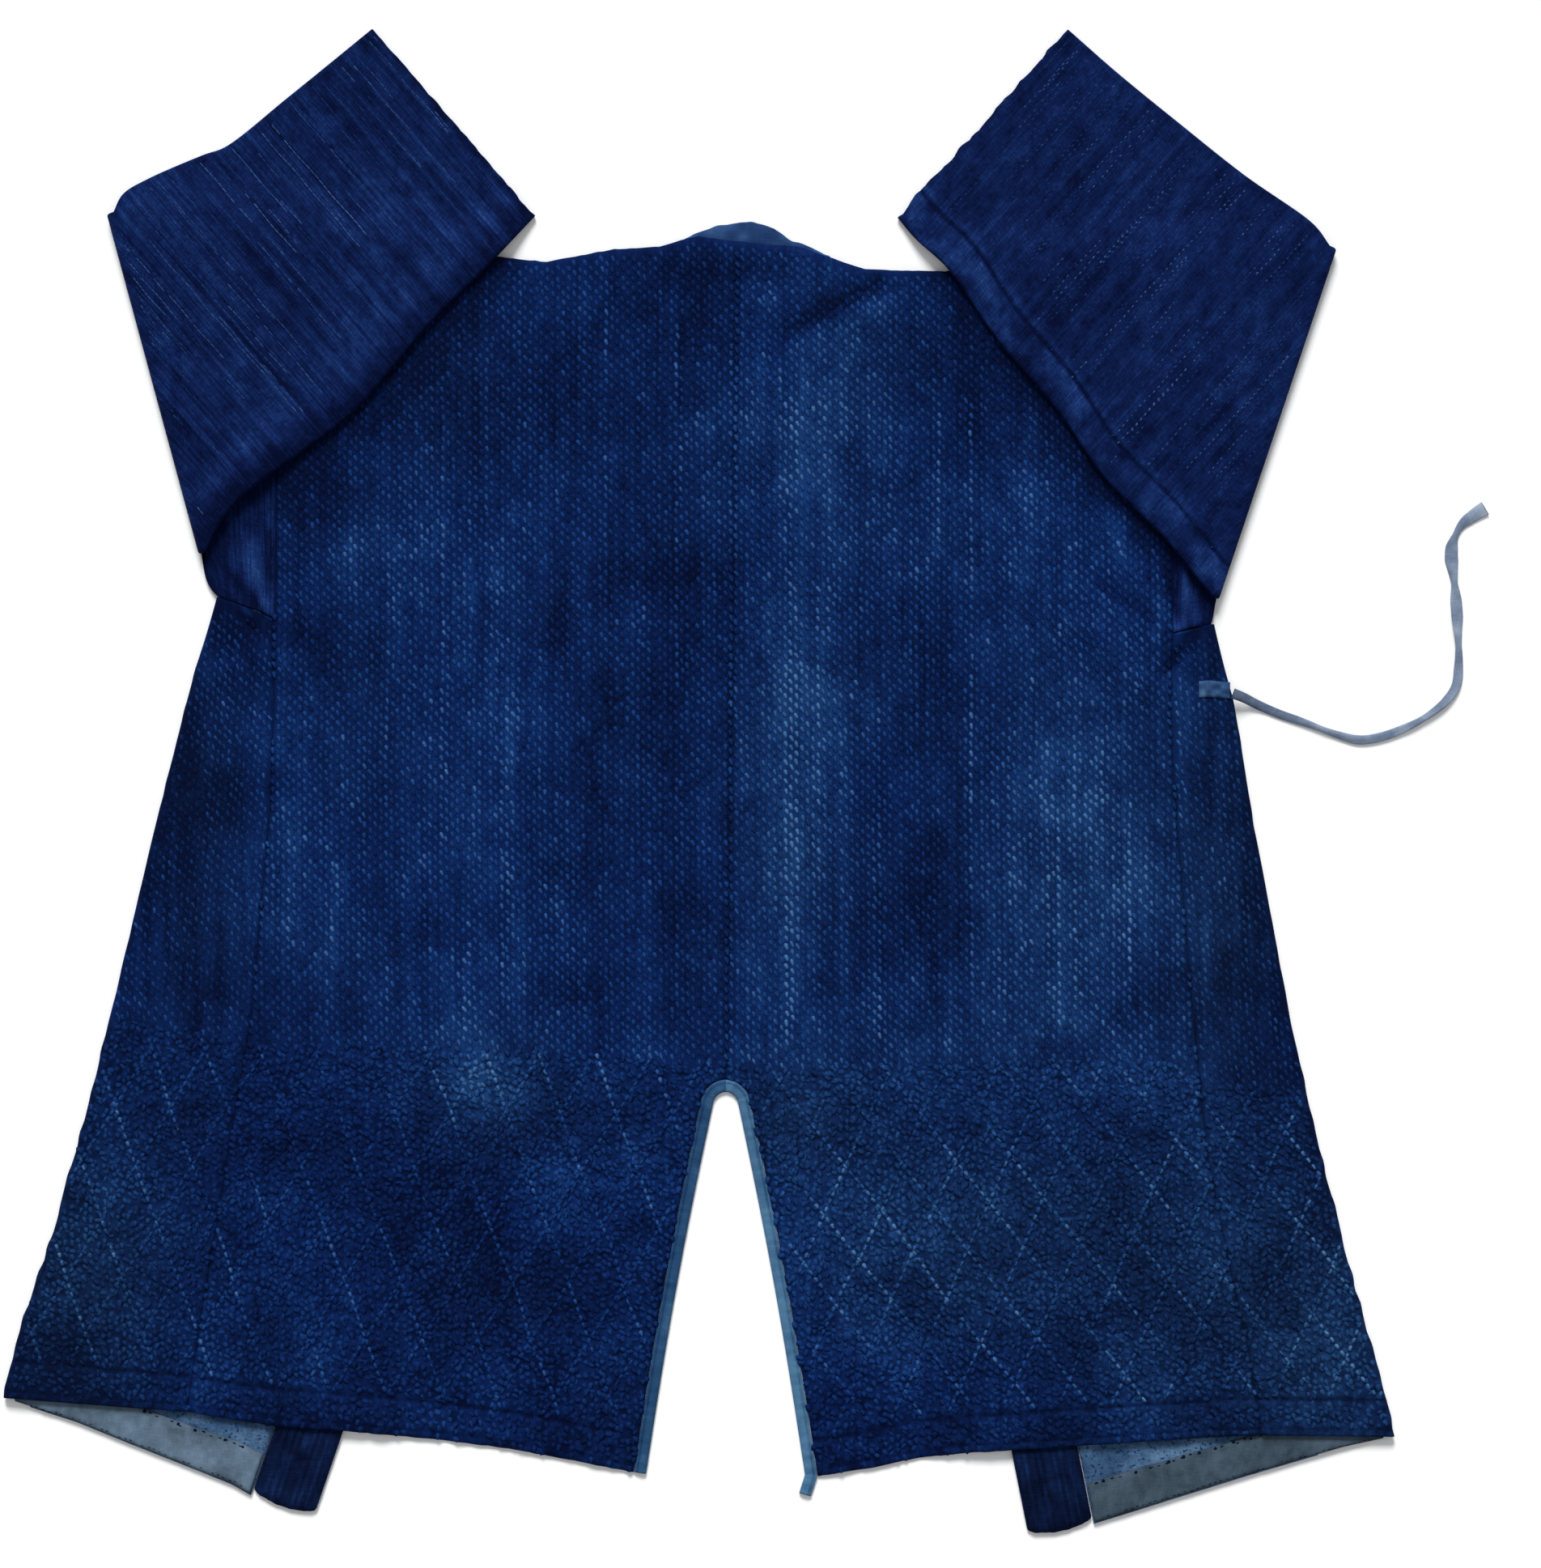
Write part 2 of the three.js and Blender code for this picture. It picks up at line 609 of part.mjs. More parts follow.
/**
 * A sleeve: a flat tube from the armhole, folded over the back, open at both ends. A station holds
 * its two edge points and its turn through the fold, from lying (-90 degrees) to folded (90).
 */
function sleeveGeometry(side) {
  const lyingSteps = 4;
  const bendSteps = 6;
  const foldedSteps = 10;
  const { sign, armholeX, shoulderY, seamY } = SIDES[side];
  const { underarm, shoulder, armpit, felled } = SLEEVES[side];
  const half = SLEEVE_HOLLOW / 2 + SLEEVE_CLOTH;
  const bend = OVER_BACK / 2;
  const [low, high] = [curveThrough(underarm), curveThrough(shoulder)];
  const foldLine = high.getPoint(0).sub(low.getPoint(0)).normalize();
  const outward = new THREE.Vector3(-foldLine.y, foldLine.x, 0).multiplyScalar(-sign);
  const toAxis = outward.clone().multiplyScalar(-(bend + half));
  const [lowAxis, highAxis] = [low.getPoint(0).add(toAxis), high.getPoint(0).add(toAxis)];
  const edgeX = armholeX + (sign * SEAM_GAP) / 2;
  const armpitPoints = armpit.map(([x, y]) => ({ x, y }));
  const lyingLow = curveThrough([{ x: edgeX, y: seamY[0] + SEAM_GAP * 2 }, ...armpitPoints, lowAxis]);
  const lyingHigh = curveThrough([{ x: edgeX, y: shoulderY }, highAxis]);

  const stations = [];
  for (let i = 0; i < lyingSteps; i += 1) {
    const u = i / lyingSteps;
    stations.push({ low: lyingLow.getPointAt(u), high: lyingHigh.getPointAt(u), turn: -Math.PI / 2 });
  }
  for (let i = 0; i <= bendSteps; i += 1) {
    stations.push({ low: lowAxis, high: highAxis, turn: Math.PI * (i / bendSteps - 0.5) });
  }
  for (let i = 1; i <= foldedSteps; i += 1) {
    const u = i / foldedSteps;
    const settle = toAxis.clone().multiplyScalar((1 - u) ** 4);
    const [lowPoint, highPoint] = [low.getPointAt(u).add(settle), high.getPointAt(u).add(settle)];
    stations.push({ low: lowPoint, high: highPoint, turn: Math.PI / 2, folded: true });
  }

  /** A point of the tube at a distance from the underarm edge and off the tube's middle. */
  const point = ({ low: a, high: b, turn, folded }, distance, off) => {
    const p = a.clone().lerp(b, distance / a.distanceTo(b));
    if (folded) return p.setZ(sleeveLift(side, p.x, p.y) + half + off);
    const radius = bend + off;
    return p.addScaledVector(outward, radius * Math.cos(turn)).setZ(half + bend + radius * Math.sin(turn));
  };
  const flatColumns = 9;
  const loop = (station, off, noseIn) => {
    const width = station.low.distanceTo(station.high);
    const distances = [half, FELLED_SEAM_WIDTH, FELLED_SEAM_WIDTH + 1.2];
    for (let k = 1; k <= flatColumns - 3; k += 1) {
      distances.push(mix(FELLED_SEAM_WIDTH, width - half, k / (flatColumns - 3)));
    }
    const raise = (k) => (off === half && k < 2 ? felled * ease(Math.sin(station.turn)) : 0);
    const front = distances.map((d, k) => point(station, d, off + raise(k)));
    const rear = distances.map((d) => point(station, d, -off)).reverse();
    return [...front, point(station, width - noseIn, 0), ...rear, point(station, noseIn, 0)];
  };
  const outer = stations.flatMap((station) => loop(station, half, 0));
  const inner = stations.flatMap((station) => loop(station, SLEEVE_HOLLOW / 2, SLEEVE_CLOTH));
  return wall(outer, inner, gridFaces(stations.length, flatColumns * 2 + 2, { looped: true }));
}

/** The waist tie's tab, sewn on the right gore. */
function tabGeometry() {
  const { low, high, thick, top } = TAB;
  const steps = 4;
  const place = (i, j) => new THREE.Vector3(mix(low[0], high[0], i / steps), mix(low[1], high[1], j), top);
  return gridWall(steps + 1, 2, place, () => thick);
}

/** The waist tie: a flat tape along its route. */
function tieGeometry() {
  const sides = 8;
  const steps = 56;
  const section = new THREE.Shape();
  for (let k = 0; k < sides; k += 1) {
    const turn = (2 * Math.PI * (k + 0.5)) / sides;
    const [x, y] = [(TIE.thick / 2) * Math.cos(turn), (TIE.width / 2) * Math.sin(turn)];
    if (k === 0) section.moveTo(x, y);
    else section.lineTo(x, y);
  }
  section.closePath();
  const route = new THREE.CatmullRomCurve3(
    TIE_ROUTE.map(({ x, y, z }) => new THREE.Vector3(x, y, z)),
    false,
    "centripetal",
  );
  return new THREE.ExtrudeGeometry(section, { steps, extrudePath: route, bevelEnabled: false });
}

/** A named piece of one cloth. */
function piece(name, geometry, cloth) {
  const mesh = new THREE.Mesh(geometry, new THREE.MeshStandardMaterial({ ...CLOTHS[cloth], metalness: 0 }));
  mesh.name = name;
  return mesh;
}

const jacket = new THREE.Group();
jacket.add(piece("back", backGeometry(), "indigo"));
for (const side of ["left", "right"]) {
  jacket.add(piece(`gore_${side}`, goreGeometry(side), "indigo"));
  jacket.add(piece(`front_${side}`, frontGeometry(side), "lining"));
  jacket.add(piece(`hem_facing_${side}`, facingGeometry(side), "facing"));
  jacket.add(piece(`collar_band_${side}`, bandGeometry(side), "band"));
  jacket.add(piece(`sleeve_${side}`, sleeveGeometry(side), "sleeve"));
}
jacket.add(piece("collar_nape", napeGeometry(), "lining"));
jacket.add(piece("vent_binding", bindingGeometry(), "binding"));
jacket.add(piece("tie_tab", tabGeometry(), "tie"));
jacket.add(piece("tie", tieGeometry(), "tie"));

export default jacket;
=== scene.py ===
"""The looks of a sashiko noragi, laid flat on its front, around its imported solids.

Tables and sizes are in millimetres, as in the part, and a mesh is turned to metres when it is made.
The tie's route is in metres. +Z is up, +Y points to the collar, and the jacket shows its back.
"""

import math

import bpy
import numpy as np
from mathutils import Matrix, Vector


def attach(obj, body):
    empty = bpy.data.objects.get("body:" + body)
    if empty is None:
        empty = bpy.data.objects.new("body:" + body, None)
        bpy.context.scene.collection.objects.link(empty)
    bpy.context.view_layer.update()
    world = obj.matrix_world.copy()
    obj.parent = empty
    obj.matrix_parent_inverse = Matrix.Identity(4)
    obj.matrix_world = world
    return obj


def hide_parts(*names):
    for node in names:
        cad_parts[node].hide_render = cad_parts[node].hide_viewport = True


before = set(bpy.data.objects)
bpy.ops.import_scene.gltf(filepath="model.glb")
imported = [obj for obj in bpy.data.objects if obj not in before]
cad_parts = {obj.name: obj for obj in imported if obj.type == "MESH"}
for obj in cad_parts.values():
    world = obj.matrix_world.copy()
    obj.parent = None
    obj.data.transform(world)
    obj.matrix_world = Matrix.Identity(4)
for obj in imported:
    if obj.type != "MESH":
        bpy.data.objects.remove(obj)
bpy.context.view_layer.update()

MM = 0.001

# Cloth and lay, the same sizes as the solids have
BODY_CLOTH = 1.8
SLEEVE_CLOTH = 1.5
TAPE_CLOTH = 1.0
SEAM_GAP = 0.3
BAND_WIDTH = 42
BAND_THICK = 3.4
BINDING_WIDTH = 8
BINDING_THICK = 2.6
SLEEVE_HOLLOW = 0.6
FELLED_SEAM_WIDTH = 21
FELLED_SEAM_RAISE = 0.9
OVER_FRONTS = 3.8
OVER_ARMHOLE = BODY_CLOTH + SEAM_GAP
OVER_BACK = 6.3
BAND_DROP = 64
BAND_CLEAR = 5
COLLAR_MIDDLE, COLLAR_HALF, COLLAR_FADE = 35, 70, 24
ARMHOLE_DROP = 30
SLEEVE_DROP = 34
VENT_X, VENT_TOP, VENT_LENGTH, VENT_ARCH, VENT_FLARE, VENT_BOW = 17, -191, 252, 13, 0.183, 2.4
VENT_SHARE = 0.58
BINDING_TAIL = (-4.2, -13.3)
NECK = (25, 346.5)
NAPE_FOOT = 334.5
FACING_DEPTH, FACING_SLANT = 25, 0.28
HEM_TURN, HEM_ROW = 23, 4.5
COURSE_ROWS = 18
ARMHOLE_ROWS = 5
SLEEVE_HALF = SLEEVE_HOLLOW / 2 + SLEEVE_CLOTH
SLEEVE_BEND = OVER_BACK / 2

# Looks only: the visible gap at a seam, and how far cloth drops there over which width
SEAM_LINE, SEAM_SOFT, SEAM_SOFT_WIDTH = 0.1, 0.8, 2.4

# Looks only: the lowest that an underside goes, the least thickness, and a turned edge's share and width
UNDER_LOWEST, CLOTH_LEAST, TURNED_THIN, TURNED_WIDTH = -0.15, 0.5, 0.72, 2


def table(names, rows):
    """Rows of numbers as a dictionary with an array for each named column."""
    return dict(zip(names.split(), np.array(rows, float).T))


# Body courses from armpit (t = 0) to hem (t = 1)
COURSES = table("t seam_left fold_left seam_right fold_right gore", [
    (0.0, -273.5, -309.5, 304, 330.5, 50),
    (0.1, -272.5, -325.3, 302, 344, 61),
    (0.25, -275.5, -344.8, 307, 356.5, 77),
    (0.5, -287, -375.2, 318, 381, 96),
    (0.65, -300, -394.5, 326, 399, 105),
    (0.8, -312.5, -416.1, 341.5, 419, 115),
    (0.9, -321, -433.8, 353, 433.5, 123),
    (1.0, -328.5, -447, 360.5, 447, 136),
])
SIDES = {
    "left": {"sign": -1, "armhole": -272, "shoulder": 353, "seam": (104, -404), "fold": (117.5, -395)},
    "right": {"sign": 1, "armhole": 304, "shoulder": 339, "seam": (95, -419), "fold": (100, -420)},
}
TOP_EDGE = table("x y", [
    (-272, 353), (-158, 340), (-98, 333.5), (-56, 341.5), (-26, 343), (-2, 350),
    (25, 346.5), (64, 343), (83, 336.5), (107, 328.5), (158, 327.5), (304, 339),
])
HEM_EDGE = table("x y", [
    (-447, -395), (-328.5, -404), (-275, -412.5), (-229, -416), (-171, -421.5), (-124, -427.5),
    (-85, -434.5), (-42, -443), (76, -445.5), (108, -440.5), (142, -433.5), (175, -430), (245, -425.5),
    (338, -419.5), (360.5, -419), (447, -420),
])
BANDS = {
    "left": {"top": (4.5, 326.5), "end": (-267.5, -465)},
    "right": {"top": (70.5, 326.5), "end": (232.3, -480.8)},
}
FRONT_HEMS = {
    "left": table("x y", [
        (-446, -396), (-399.5, -411), (-366.5, -424.5), (-333.5, -437.5), (-300, -451), (-286, -459),
    ]),
    "right": table("x y", [(446, -420.5), (413.5, -427.5), (353.5, -445), (294.5, -463.5), (248, -478)]),
}
NAPE = table("x y", [
    (-16, 345.5), (-4, 351.5), (11, 357), (34, 360), (48, 355.5), (57, 348.5), (72, 343), (84, 337),
])
SLEEVES = {
    "left": {
        "underarm": [
            (-321, 146), (-305, 172), (-275, 197.5), (-251.5, 214), (-220.5, 238), (-170.5, 295.5),
            (-131, 335), (-105.5, 363),
        ],
        "shoulder": [
            (-380, 364), (-373, 376), (-356, 386.5), (-319, 402.5), (-305, 407.5), (-263.5, 440),
            (-210, 483.5),
        ],
        "armpit": [(-290, 112), (-308.8, 118.8), (-317, 131.5)],
        "felled": 0,
        "line": ((-380, 366), (-98, 334)),
    },
    "right": {
        "underarm": [
            (333.5, 117), (320.5, 132), (299.5, 156.5), (261.5, 193.5), (229, 239), (192, 282),
            (160, 328), (139, 348), (127.5, 362),
        ],
        "shoulder": [(409, 342), (397, 357), (349.5, 390.5), (309.5, 422), (269.5, 454.5), (237, 483)],
        "armpit": [(316, 98), (328.5, 101.3)],
        "felled": FELLED_SEAM_RAISE,
        "line": ((107, 328.5), (409, 343.5)),
    },
}

# Soft folds of the solids: from, to, half width and height
FOLDS = table("x1 y1 x2 y2 width height", [
    (123, 322, 56, 291, 14, 2.6), (-262, 96, -300, 70, 9, 2.4), (298, 86, 262, 130, 10, 2.6),
    (300, 60, 215, 120, 12, 1.6), (-300, 60, -306, -40, 13, 1.5), (-120, -330, -60, -436, 16, 1.4),
    (120, -330, 100, -438, 16, 1.4),
])

# Finer creases, ridges up and troughs down
CREASES = table("x1 y1 x2 y2 width height", [
    (132, 312, 92, 294, 7, 1.2), (119, 321, 84, 306, 6, -2.0), (88, 307, 54, 286, 6.5, -2.4),
    (60, 305, 20, 318, 8, 0.8), (88, 318, 66, 309, 5, -0.8), (-296, 113, -287, 104, 3.4, 2.4),
    (-280, 118, -275, 104, 4, 2.4), (-305, 137, -277, 102, 3, -2.2), (-298, 113, -283, 95, 3.2, -2.0),
    (-276, 158, -275, 124, 3.4, -1.6), (-288, 150, -281, 120, 6, 1.2), (-268, 110, -250, 92, 7, -0.9),
    (-284, 88, -250, 66, 8, 0.9), (-268, 60, -272, 10, 7, 0.7), (-318, 80, -332, 20, 8, 0.8),
    (300, 108, 286, 88, 5, 1.4), (319, 99, 312, 88, 3.2, -2.0), (312, 88, 297, 71, 3.6, -1.8),
    (305, 150, 304, 112, 3.4, -1.8), (317, 142, 318, 126, 2.8, -1.6), (311, 140, 313, 114, 3.6, 1.7),
    (323, 104, 316, 96, 3, 1.6), (309, 104, 306, 92, 3.4, 1.6), (326, 142, 327, 112, 3.6, -1.4),
    (257, 182, 276, 141, 7, 1.0), (276, 141, 304, 100, 7, 1.0), (251, 130, 298, 100, 6, -1.1),
    (239, 132, 291, 91, 6, 0.9), (303, 148, 304, 116, 3, -1.8), (304, 116, 308, 99, 3, -1.4),
    (326, 107, 314, 87, 3.2, -1.6), (314, 87, 296, 70, 3.6, -1.5), (280, 120, 230, 150, 9, -0.5),
    (270, 96, 226, 108, 8, 0.9), (312, 60, 318, 20, 8, 0.7), (226, 160, 190, 210, 12, 0.7),
    (-210, 200, -236, 130, 14, 0.7), (-60, -230, -130, -260, 16, 0.7), (-150, -350, -112, -430, 14, 0.9),
    (-260, -330, -240, -410, 15, 0.8), (-205, -360, -196, -420, 10, -0.6), (60, -300, 68, -380, 12, 0.9),
    (200, -350, 190, -428, 15, 0.8), (290, -340, 300, -420, 13, 0.8), (246, -370, 250, -424, 10, -0.6),
])

# How faded the pieces of each side are, from 0 to 1
FADED = {
    "left": {"front": 0.41, "facing": 0.67, "band": 0.45, "sleeve": 0.305},
    "right": {"front": 0.64, "facing": 0.29, "band": 0.40, "sleeve": 0.245},
}

# Where the rice-grain weave of the upper body turns to crepe with diamond stitching
WEAVE_END = table("x y", [
    (-380, -150), (-330, -158), (-300, -166), (-200, -169), (-100, -173), (0, -180), (60, -184),
    (150, -181), (250, -177), (318, -180), (324, -194), (400, -199),
])

# Faded and dark patches: middle, half sizes, and how much lighter or darker
# The dark ones close below the sleeves' underarm edges, along the neck crease and below the collar are
# painted shade.
PATCHES = table("x y half_x half_y lighter", [
    (60, 60, 30, 230, 0.30), (84, 250, 48, 60, 0.16), (-10, 40, 26, 150, -0.10),
    (-70, -20, 60, 120, -0.04), (250, -60, 42, 110, 0.26), (205, 30, 30, 150, 0.12),
    (-130, 60, 22, 230, 0.12), (-160, -90, 60, 70, 0.06), (-248, -60, 34, 80, 0.16),
    (-240, 60, 34, 60, -0.10), (-160, 230, 70, 60, -0.10), (160, 250, 60, 60, -0.12),
    (140, -20, 34, 90, -0.10), (-20, 290, 60, 30, -0.12), (110, -250, 80, 90, 0.14),
    (230, -330, 90, 70, -0.02), (-140, -200, 30, 26, 0.26), (-60, -260, 60, 26, 0.20),
    (-180, -340, 120, 60, -0.10), (-370, -230, 40, 60, 0.16), (-400, -370, 40, 40, -0.12),
    (-330, 50, 26, 40, -0.04), (-318, -40, 30, 90, -0.12), (-345, 10, 40, 110, -0.10),
    (-150, -290, 110, 80, -0.08), (-330, -60, 26, 70, -0.10), (-352, -150, 34, 40, 0.05),
    (345, -60, 30, 110, -0.10), (405, -340, 40, 70, 0.12), (-289, 120, 12, 60, -0.20),
    (-245, 180, 34, 26, -0.18), (-190, 255, 40, 26, -0.14), (250, 190, 26, 40, -0.12),
    (290, 130, 20, 34, -0.12), (8, 330, 60, 12, -0.14), (90, 302, 30, 10, -0.12),
])

# Deep shade by the armpits: middle, half sizes, and how much darker
SHADES = table("x y half_x half_y darker", [
    (-315, 150, 13, 24, 0.34), (-284, 172, 16, 16, 0.12), (326, 128, 5, 22, 0.26),
    (310, 146, 9, 12, 0.20), (288, 166, 9, 12, 0.12), (270, 184, 10, 12, 0.10),
])

# Where the indigo has turned greener: middle, half sizes, and how much of the way
GREENER = table("x y half_x half_y share", [
    (-400, -320, 70, 100, 0.8), (410, -350, 80, 120, 0.95), (300, -330, 70, 110, 0.4),
    (170, -290, 120, 90, 0.65), (250, -70, 90, 110, 0.5), (340, -60, 36, 130, 0.5),
    (-318, -30, 30, 90, 0.3), (60, -20, 44, 150, 0.35), (60, -215, 70, 40, 0.4),
    (-140, -200, 50, 40, 0.5), (90, 230, 50, 80, 0.25),
])

# Bright slub threads down the back: where, from, to, and how bright
SLUB_COLUMNS = table("x high low bright", [
    (-13.5, 300, 50, 0.34), (-14, 20, -150, 0.14), (174, 248, -148, 0.34), (170.5, 200, -60, 0.12),
    (154, 253, 138, 0.20), (53, 284, 90, 0.20), (57, 240, -174, 0.30), (60.5, 150, -174, 0.22),
    (63.5, 90, -120, 0.16), (76, 138, -174, 0.24), (92, 40, -100, 0.12), (115, 60, -174, 0.24),
    (121, -20, -170, 0.14), (-85, 325, 190, 0.18), (-88.5, 300, 60, 0.10), (-126, 331, 211, 0.18),
    (-126, 34, -148, 0.20), (-122, -10, -168, 0.12), (-164, 242, -70, 0.16), (-150, -122, -170, 0.30),
    (-59, 330, 138, 0.18), (-40, 120, -60, 0.10), (21, 305, 138, 0.18), (28, 60, -40, 0.12),
    (190, 34, -148, 0.20), (198, 170, -18, 0.14), (223, 10, -150, 0.14), (230, -10, -170, 0.22),
    (240, 34, -168, 0.24), (247, 0, -168, 0.16), (258, 30, -168, 0.24), (265, -30, -168, 0.18),
    (276, 20, -150, 0.22), (288, -10, -120, 0.12), (-200, 60, -160, 0.14), (-216, 20, -120, 0.10),
    (-244, -20, -150, 0.12), (-190, 260, 120, 0.10), (-262, -60, -160, 0.10), (140, 150, 0, 0.10),
])

# The waist tie: the part's own route, in metres, and the tape's width, thickness and turn along it
TIE_ROUTE = [
    (0.3422, 0.0568, 0.0072), (0.3490, 0.0542, 0.0054), (0.3557, 0.0510, 0.0026),
    (0.3630, 0.0476, 0.00095), (0.3723, 0.0437, 0.00075), (0.3905, 0.0374, 0.00075),
    (0.4087, 0.0307, 0.00075), (0.4238, 0.0270, 0.00075), (0.4384, 0.0291, 0.00075),
    (0.4550, 0.0354, 0.00075), (0.4696, 0.0437, 0.00075), (0.4805, 0.0530, 0.00075),
    (0.4862, 0.0620, 0.00075), (0.4878, 0.0764, 0.00075), (0.4872, 0.0988, 0.00075),
    (0.4867, 0.1097, 0.00075), (0.4852, 0.1264, 0.00075), (0.4831, 0.1466, 0.00075),
    (0.4846, 0.1555, 0.00075), (0.4895, 0.1648, 0.00075), (0.4990, 0.1722, 0.00075),
    (0.5049, 0.1758, 0.00075),
]
TIE_WIDTH, TIE_THICK = 7, 1.5
TIE_SHAPE = table("share width thick turn", [
    (0, 6.84, 1.5, 0), (0.06, 5.94, 1.8, 0.2), (0.16, 5.76, 2, 0.9), (0.22, 4.14, 2.4, 1.6),
    (0.3, 5.94, 1.9, 2.7), (0.4, 5.58, 2, 3.3), (0.46, 3.96, 2.5, 4.3), (0.53, 5.76, 1.9, 5.6),
    (0.6, 6.21, 1.8, 6.3), (0.66, 4.14, 2.4, 7.2), (0.72, 7.74, 1.5, 9.1), (0.76, 7.38, 1.5, 9.4),
    (0.8, 3.96, 2.4, 10.6), (0.85, 8.46, 1.4, 12.4), (0.88, 8.1, 1.4, 12.7), (0.91, 4.14, 2.3, 13.9),
    (0.95, 7.2, 1.6, 15.4), (1, 9.36, 1.4, 15.8),
])
TIE_RINGS, TIE_SIDES, TIE_SWING = 220, 18, 0.42
TAB_LOW, TAB_HIGH, TAB_THICK, TAB_FOOT = (320.5, 54), (340.5, 64.5), 1.5, 6.1

# The photo's frame on the jacket: its middle and height, seen from straight above with a long lens
VIEW_MIDDLE = (0.0458, -0.0013)
VIEW_HEIGHT = 1.0072
CAMERA_HEIGHT, SENSOR = 3.2, 36


def mix(a, b, t):
    """From a at t = 0 to b at t = 1, straight between."""
    return a + (b - a) * t


def unit(value):
    """The value held between 0 and 1."""
    return np.clip(value, 0, 1)


def ease(t):
    """Smoothstep: 3t² - 2t³ between 0 and 1."""
    t = unit(t)
    return t * t * (3 - 2 * t)


def bell(offset, width):
    """exp(-(offset / width)²): 1 in the middle and nearly 0 two widths away."""
    return np.exp(-((offset / width) ** 2))


def look_up(rows, by, at, wanted):
    """One column of a table where another column has the value `at`, straight between rows."""
    order = np.argsort(rows[by])
    return np.interp(at, rows[by][order], rows[wanted][order])


def soft_noise(x, y, size, seed):
    """Smooth noise from -1 to 1: seeded numbers on a lattice `size` apart, eased between neighbours."""
    lattice = np.random.default_rng(seed).uniform(-1, 1, (256, 256))
    across, up = x / size, y / size
    i, j = np.floor(across).astype(int), np.floor(up).astype(int)
    u, v = ease(across - i), ease(up - j)

    def corner(di, dj):
        return lattice[(i + di) % 256, (j + dj) % 256]

    return mix(mix(corner(0, 0), corner(1, 0), u), mix(corner(0, 1), corner(1, 1), u), v)


def curve_through(points, steps=40):
    """A smooth line through points: centripetal Catmull-Rom, `steps` samples between neighbours."""
    p = np.asarray(points, float)
    p = np.vstack([2 * p[0] - p[1], p, 2 * p[-1] - p[-2]])
    gap = step_lengths(p) ** 0.5
    before, here, after = (g[:, None] for g in (gap[:-2], gap[1:-1], gap[2:]))
    a, b, c, d = p[:-3], p[1:-2], p[2:-1], p[3:]
    leaving = ((b - a) / before - (c - a) / (before + here) + (c - b) / here) * here
    arriving = ((c - b) / here - (d - b) / (here + after) + (d - c) / after) * here
    t = (np.arange(steps) / steps)[None, :, None]
    b, c, leaving, arriving = (v[:, None, :] for v in (b, c, leaving, arriving))
    line = (2 * t**3 - 3 * t**2 + 1) * b + (t**3 - 2 * t**2 + t) * leaving
    line = line + (3 * t**2 - 2 * t**3) * c + (t**3 - t**2) * arriving
    return np.vstack([line.reshape(-1, p.shape[1]), p[-2]])


def step_lengths(line):
    """The distance from each point of a line to the next."""
    return np.linalg.norm(np.diff(line, axis=0), axis=1)


def along_line(line, share):
    """The points of a line at shares of its length."""
    gone = np.concatenate([[0], np.cumsum(step_lengths(line))])
    columns = [np.interp(share * gone[-1], gone, line[:, k]) for k in range(line.shape[1])]
    return np.stack(columns, axis=-1)


def inside(outline, x, y):
    """Whether points lie in a closed outline: an odd number of its edges crosses the ray to +X."""
    ax, ay = outline[:, 0], outline[:, 1]
    bx, by = np.roll(ax, -1), np.roll(ay, -1)
    odd = np.zeros(np.shape(x), bool)
    for x1, y1, x2, y2 in zip(ax, ay, bx, by):
        crosses = (y1 > y) != (y2 > y)
        reach = x1 + (x2 - x1) * (y - y1) / (y2 - y1 if y2 != y1 else 1)
        odd ^= crosses & (x < reach)
    return odd


def beside(x1, y1, x2, y2, x, y):
    """Where points lie beside a straight line: the share of its length, and their distance from it."""
    dx, dy = x2 - x1, y2 - y1
    along = unit(((x - x1) * dx + (y - y1) * dy) / (dx * dx + dy * dy))
    return along, np.hypot(x - x1 - along * dx, y - y1 - along * dy)


def crease_lift(rows, x, y):
    """The lift of soft creases: height * exp(-(distance / width)²) round each line, fading to its ends."""
    lift = np.zeros(np.broadcast(x, y).shape)
    for *line, width, height in zip(*rows.values()):
        along, away = beside(*line, x, y)
        lift = lift + height * bell(away, width) * (0.35 + 0.65 * np.sin(np.pi * along))
    return lift


def vent_half(below):
    """Half the vent's width, a distance below its top: a round arch, a straight flare and a slight bow."""
    left = 1 - unit(below / VENT_ARCH)
    bow = VENT_BOW * np.sin(np.pi * below / VENT_LENGTH)
    return VENT_ARCH * np.sqrt(1 - left**2) + VENT_FLARE * below + bow


def from_hem(x, y):
    """How far points are up from the back's hem."""
    return y - look_up(HEM_EDGE, "x", x, "y")


def from_top(x, y):
    """How far points are down from the back's top edge."""
    return look_up(TOP_EDGE, "x", x, "y") - y


def vent_edge(sign, below):
    """The cloth's edge at the vent, a distance below its top, on its left (-1) or right (1)."""
    hem_x = VENT_X + sign * vent_half(VENT_LENGTH)
    length = VENT_TOP - look_up(HEM_EDGE, "x", hem_x, "y")
    return np.stack([VENT_X + sign * vent_half(below), VENT_TOP - below / VENT_LENGTH * length], axis=-1)


def band_edge(side, y, edge):
    """The x of a band's edge at a height y: `edge` is -1 for its left edge and 1 for its right one."""
    top, end = BANDS[side]["top"], BANDS[side]["end"]
    slope = (end[0] - top[0]) / (end[1] - top[1])
    return top[0] + slope * (y - top[1]) + edge * BAND_WIDTH * math.hypot(1, slope) / 2


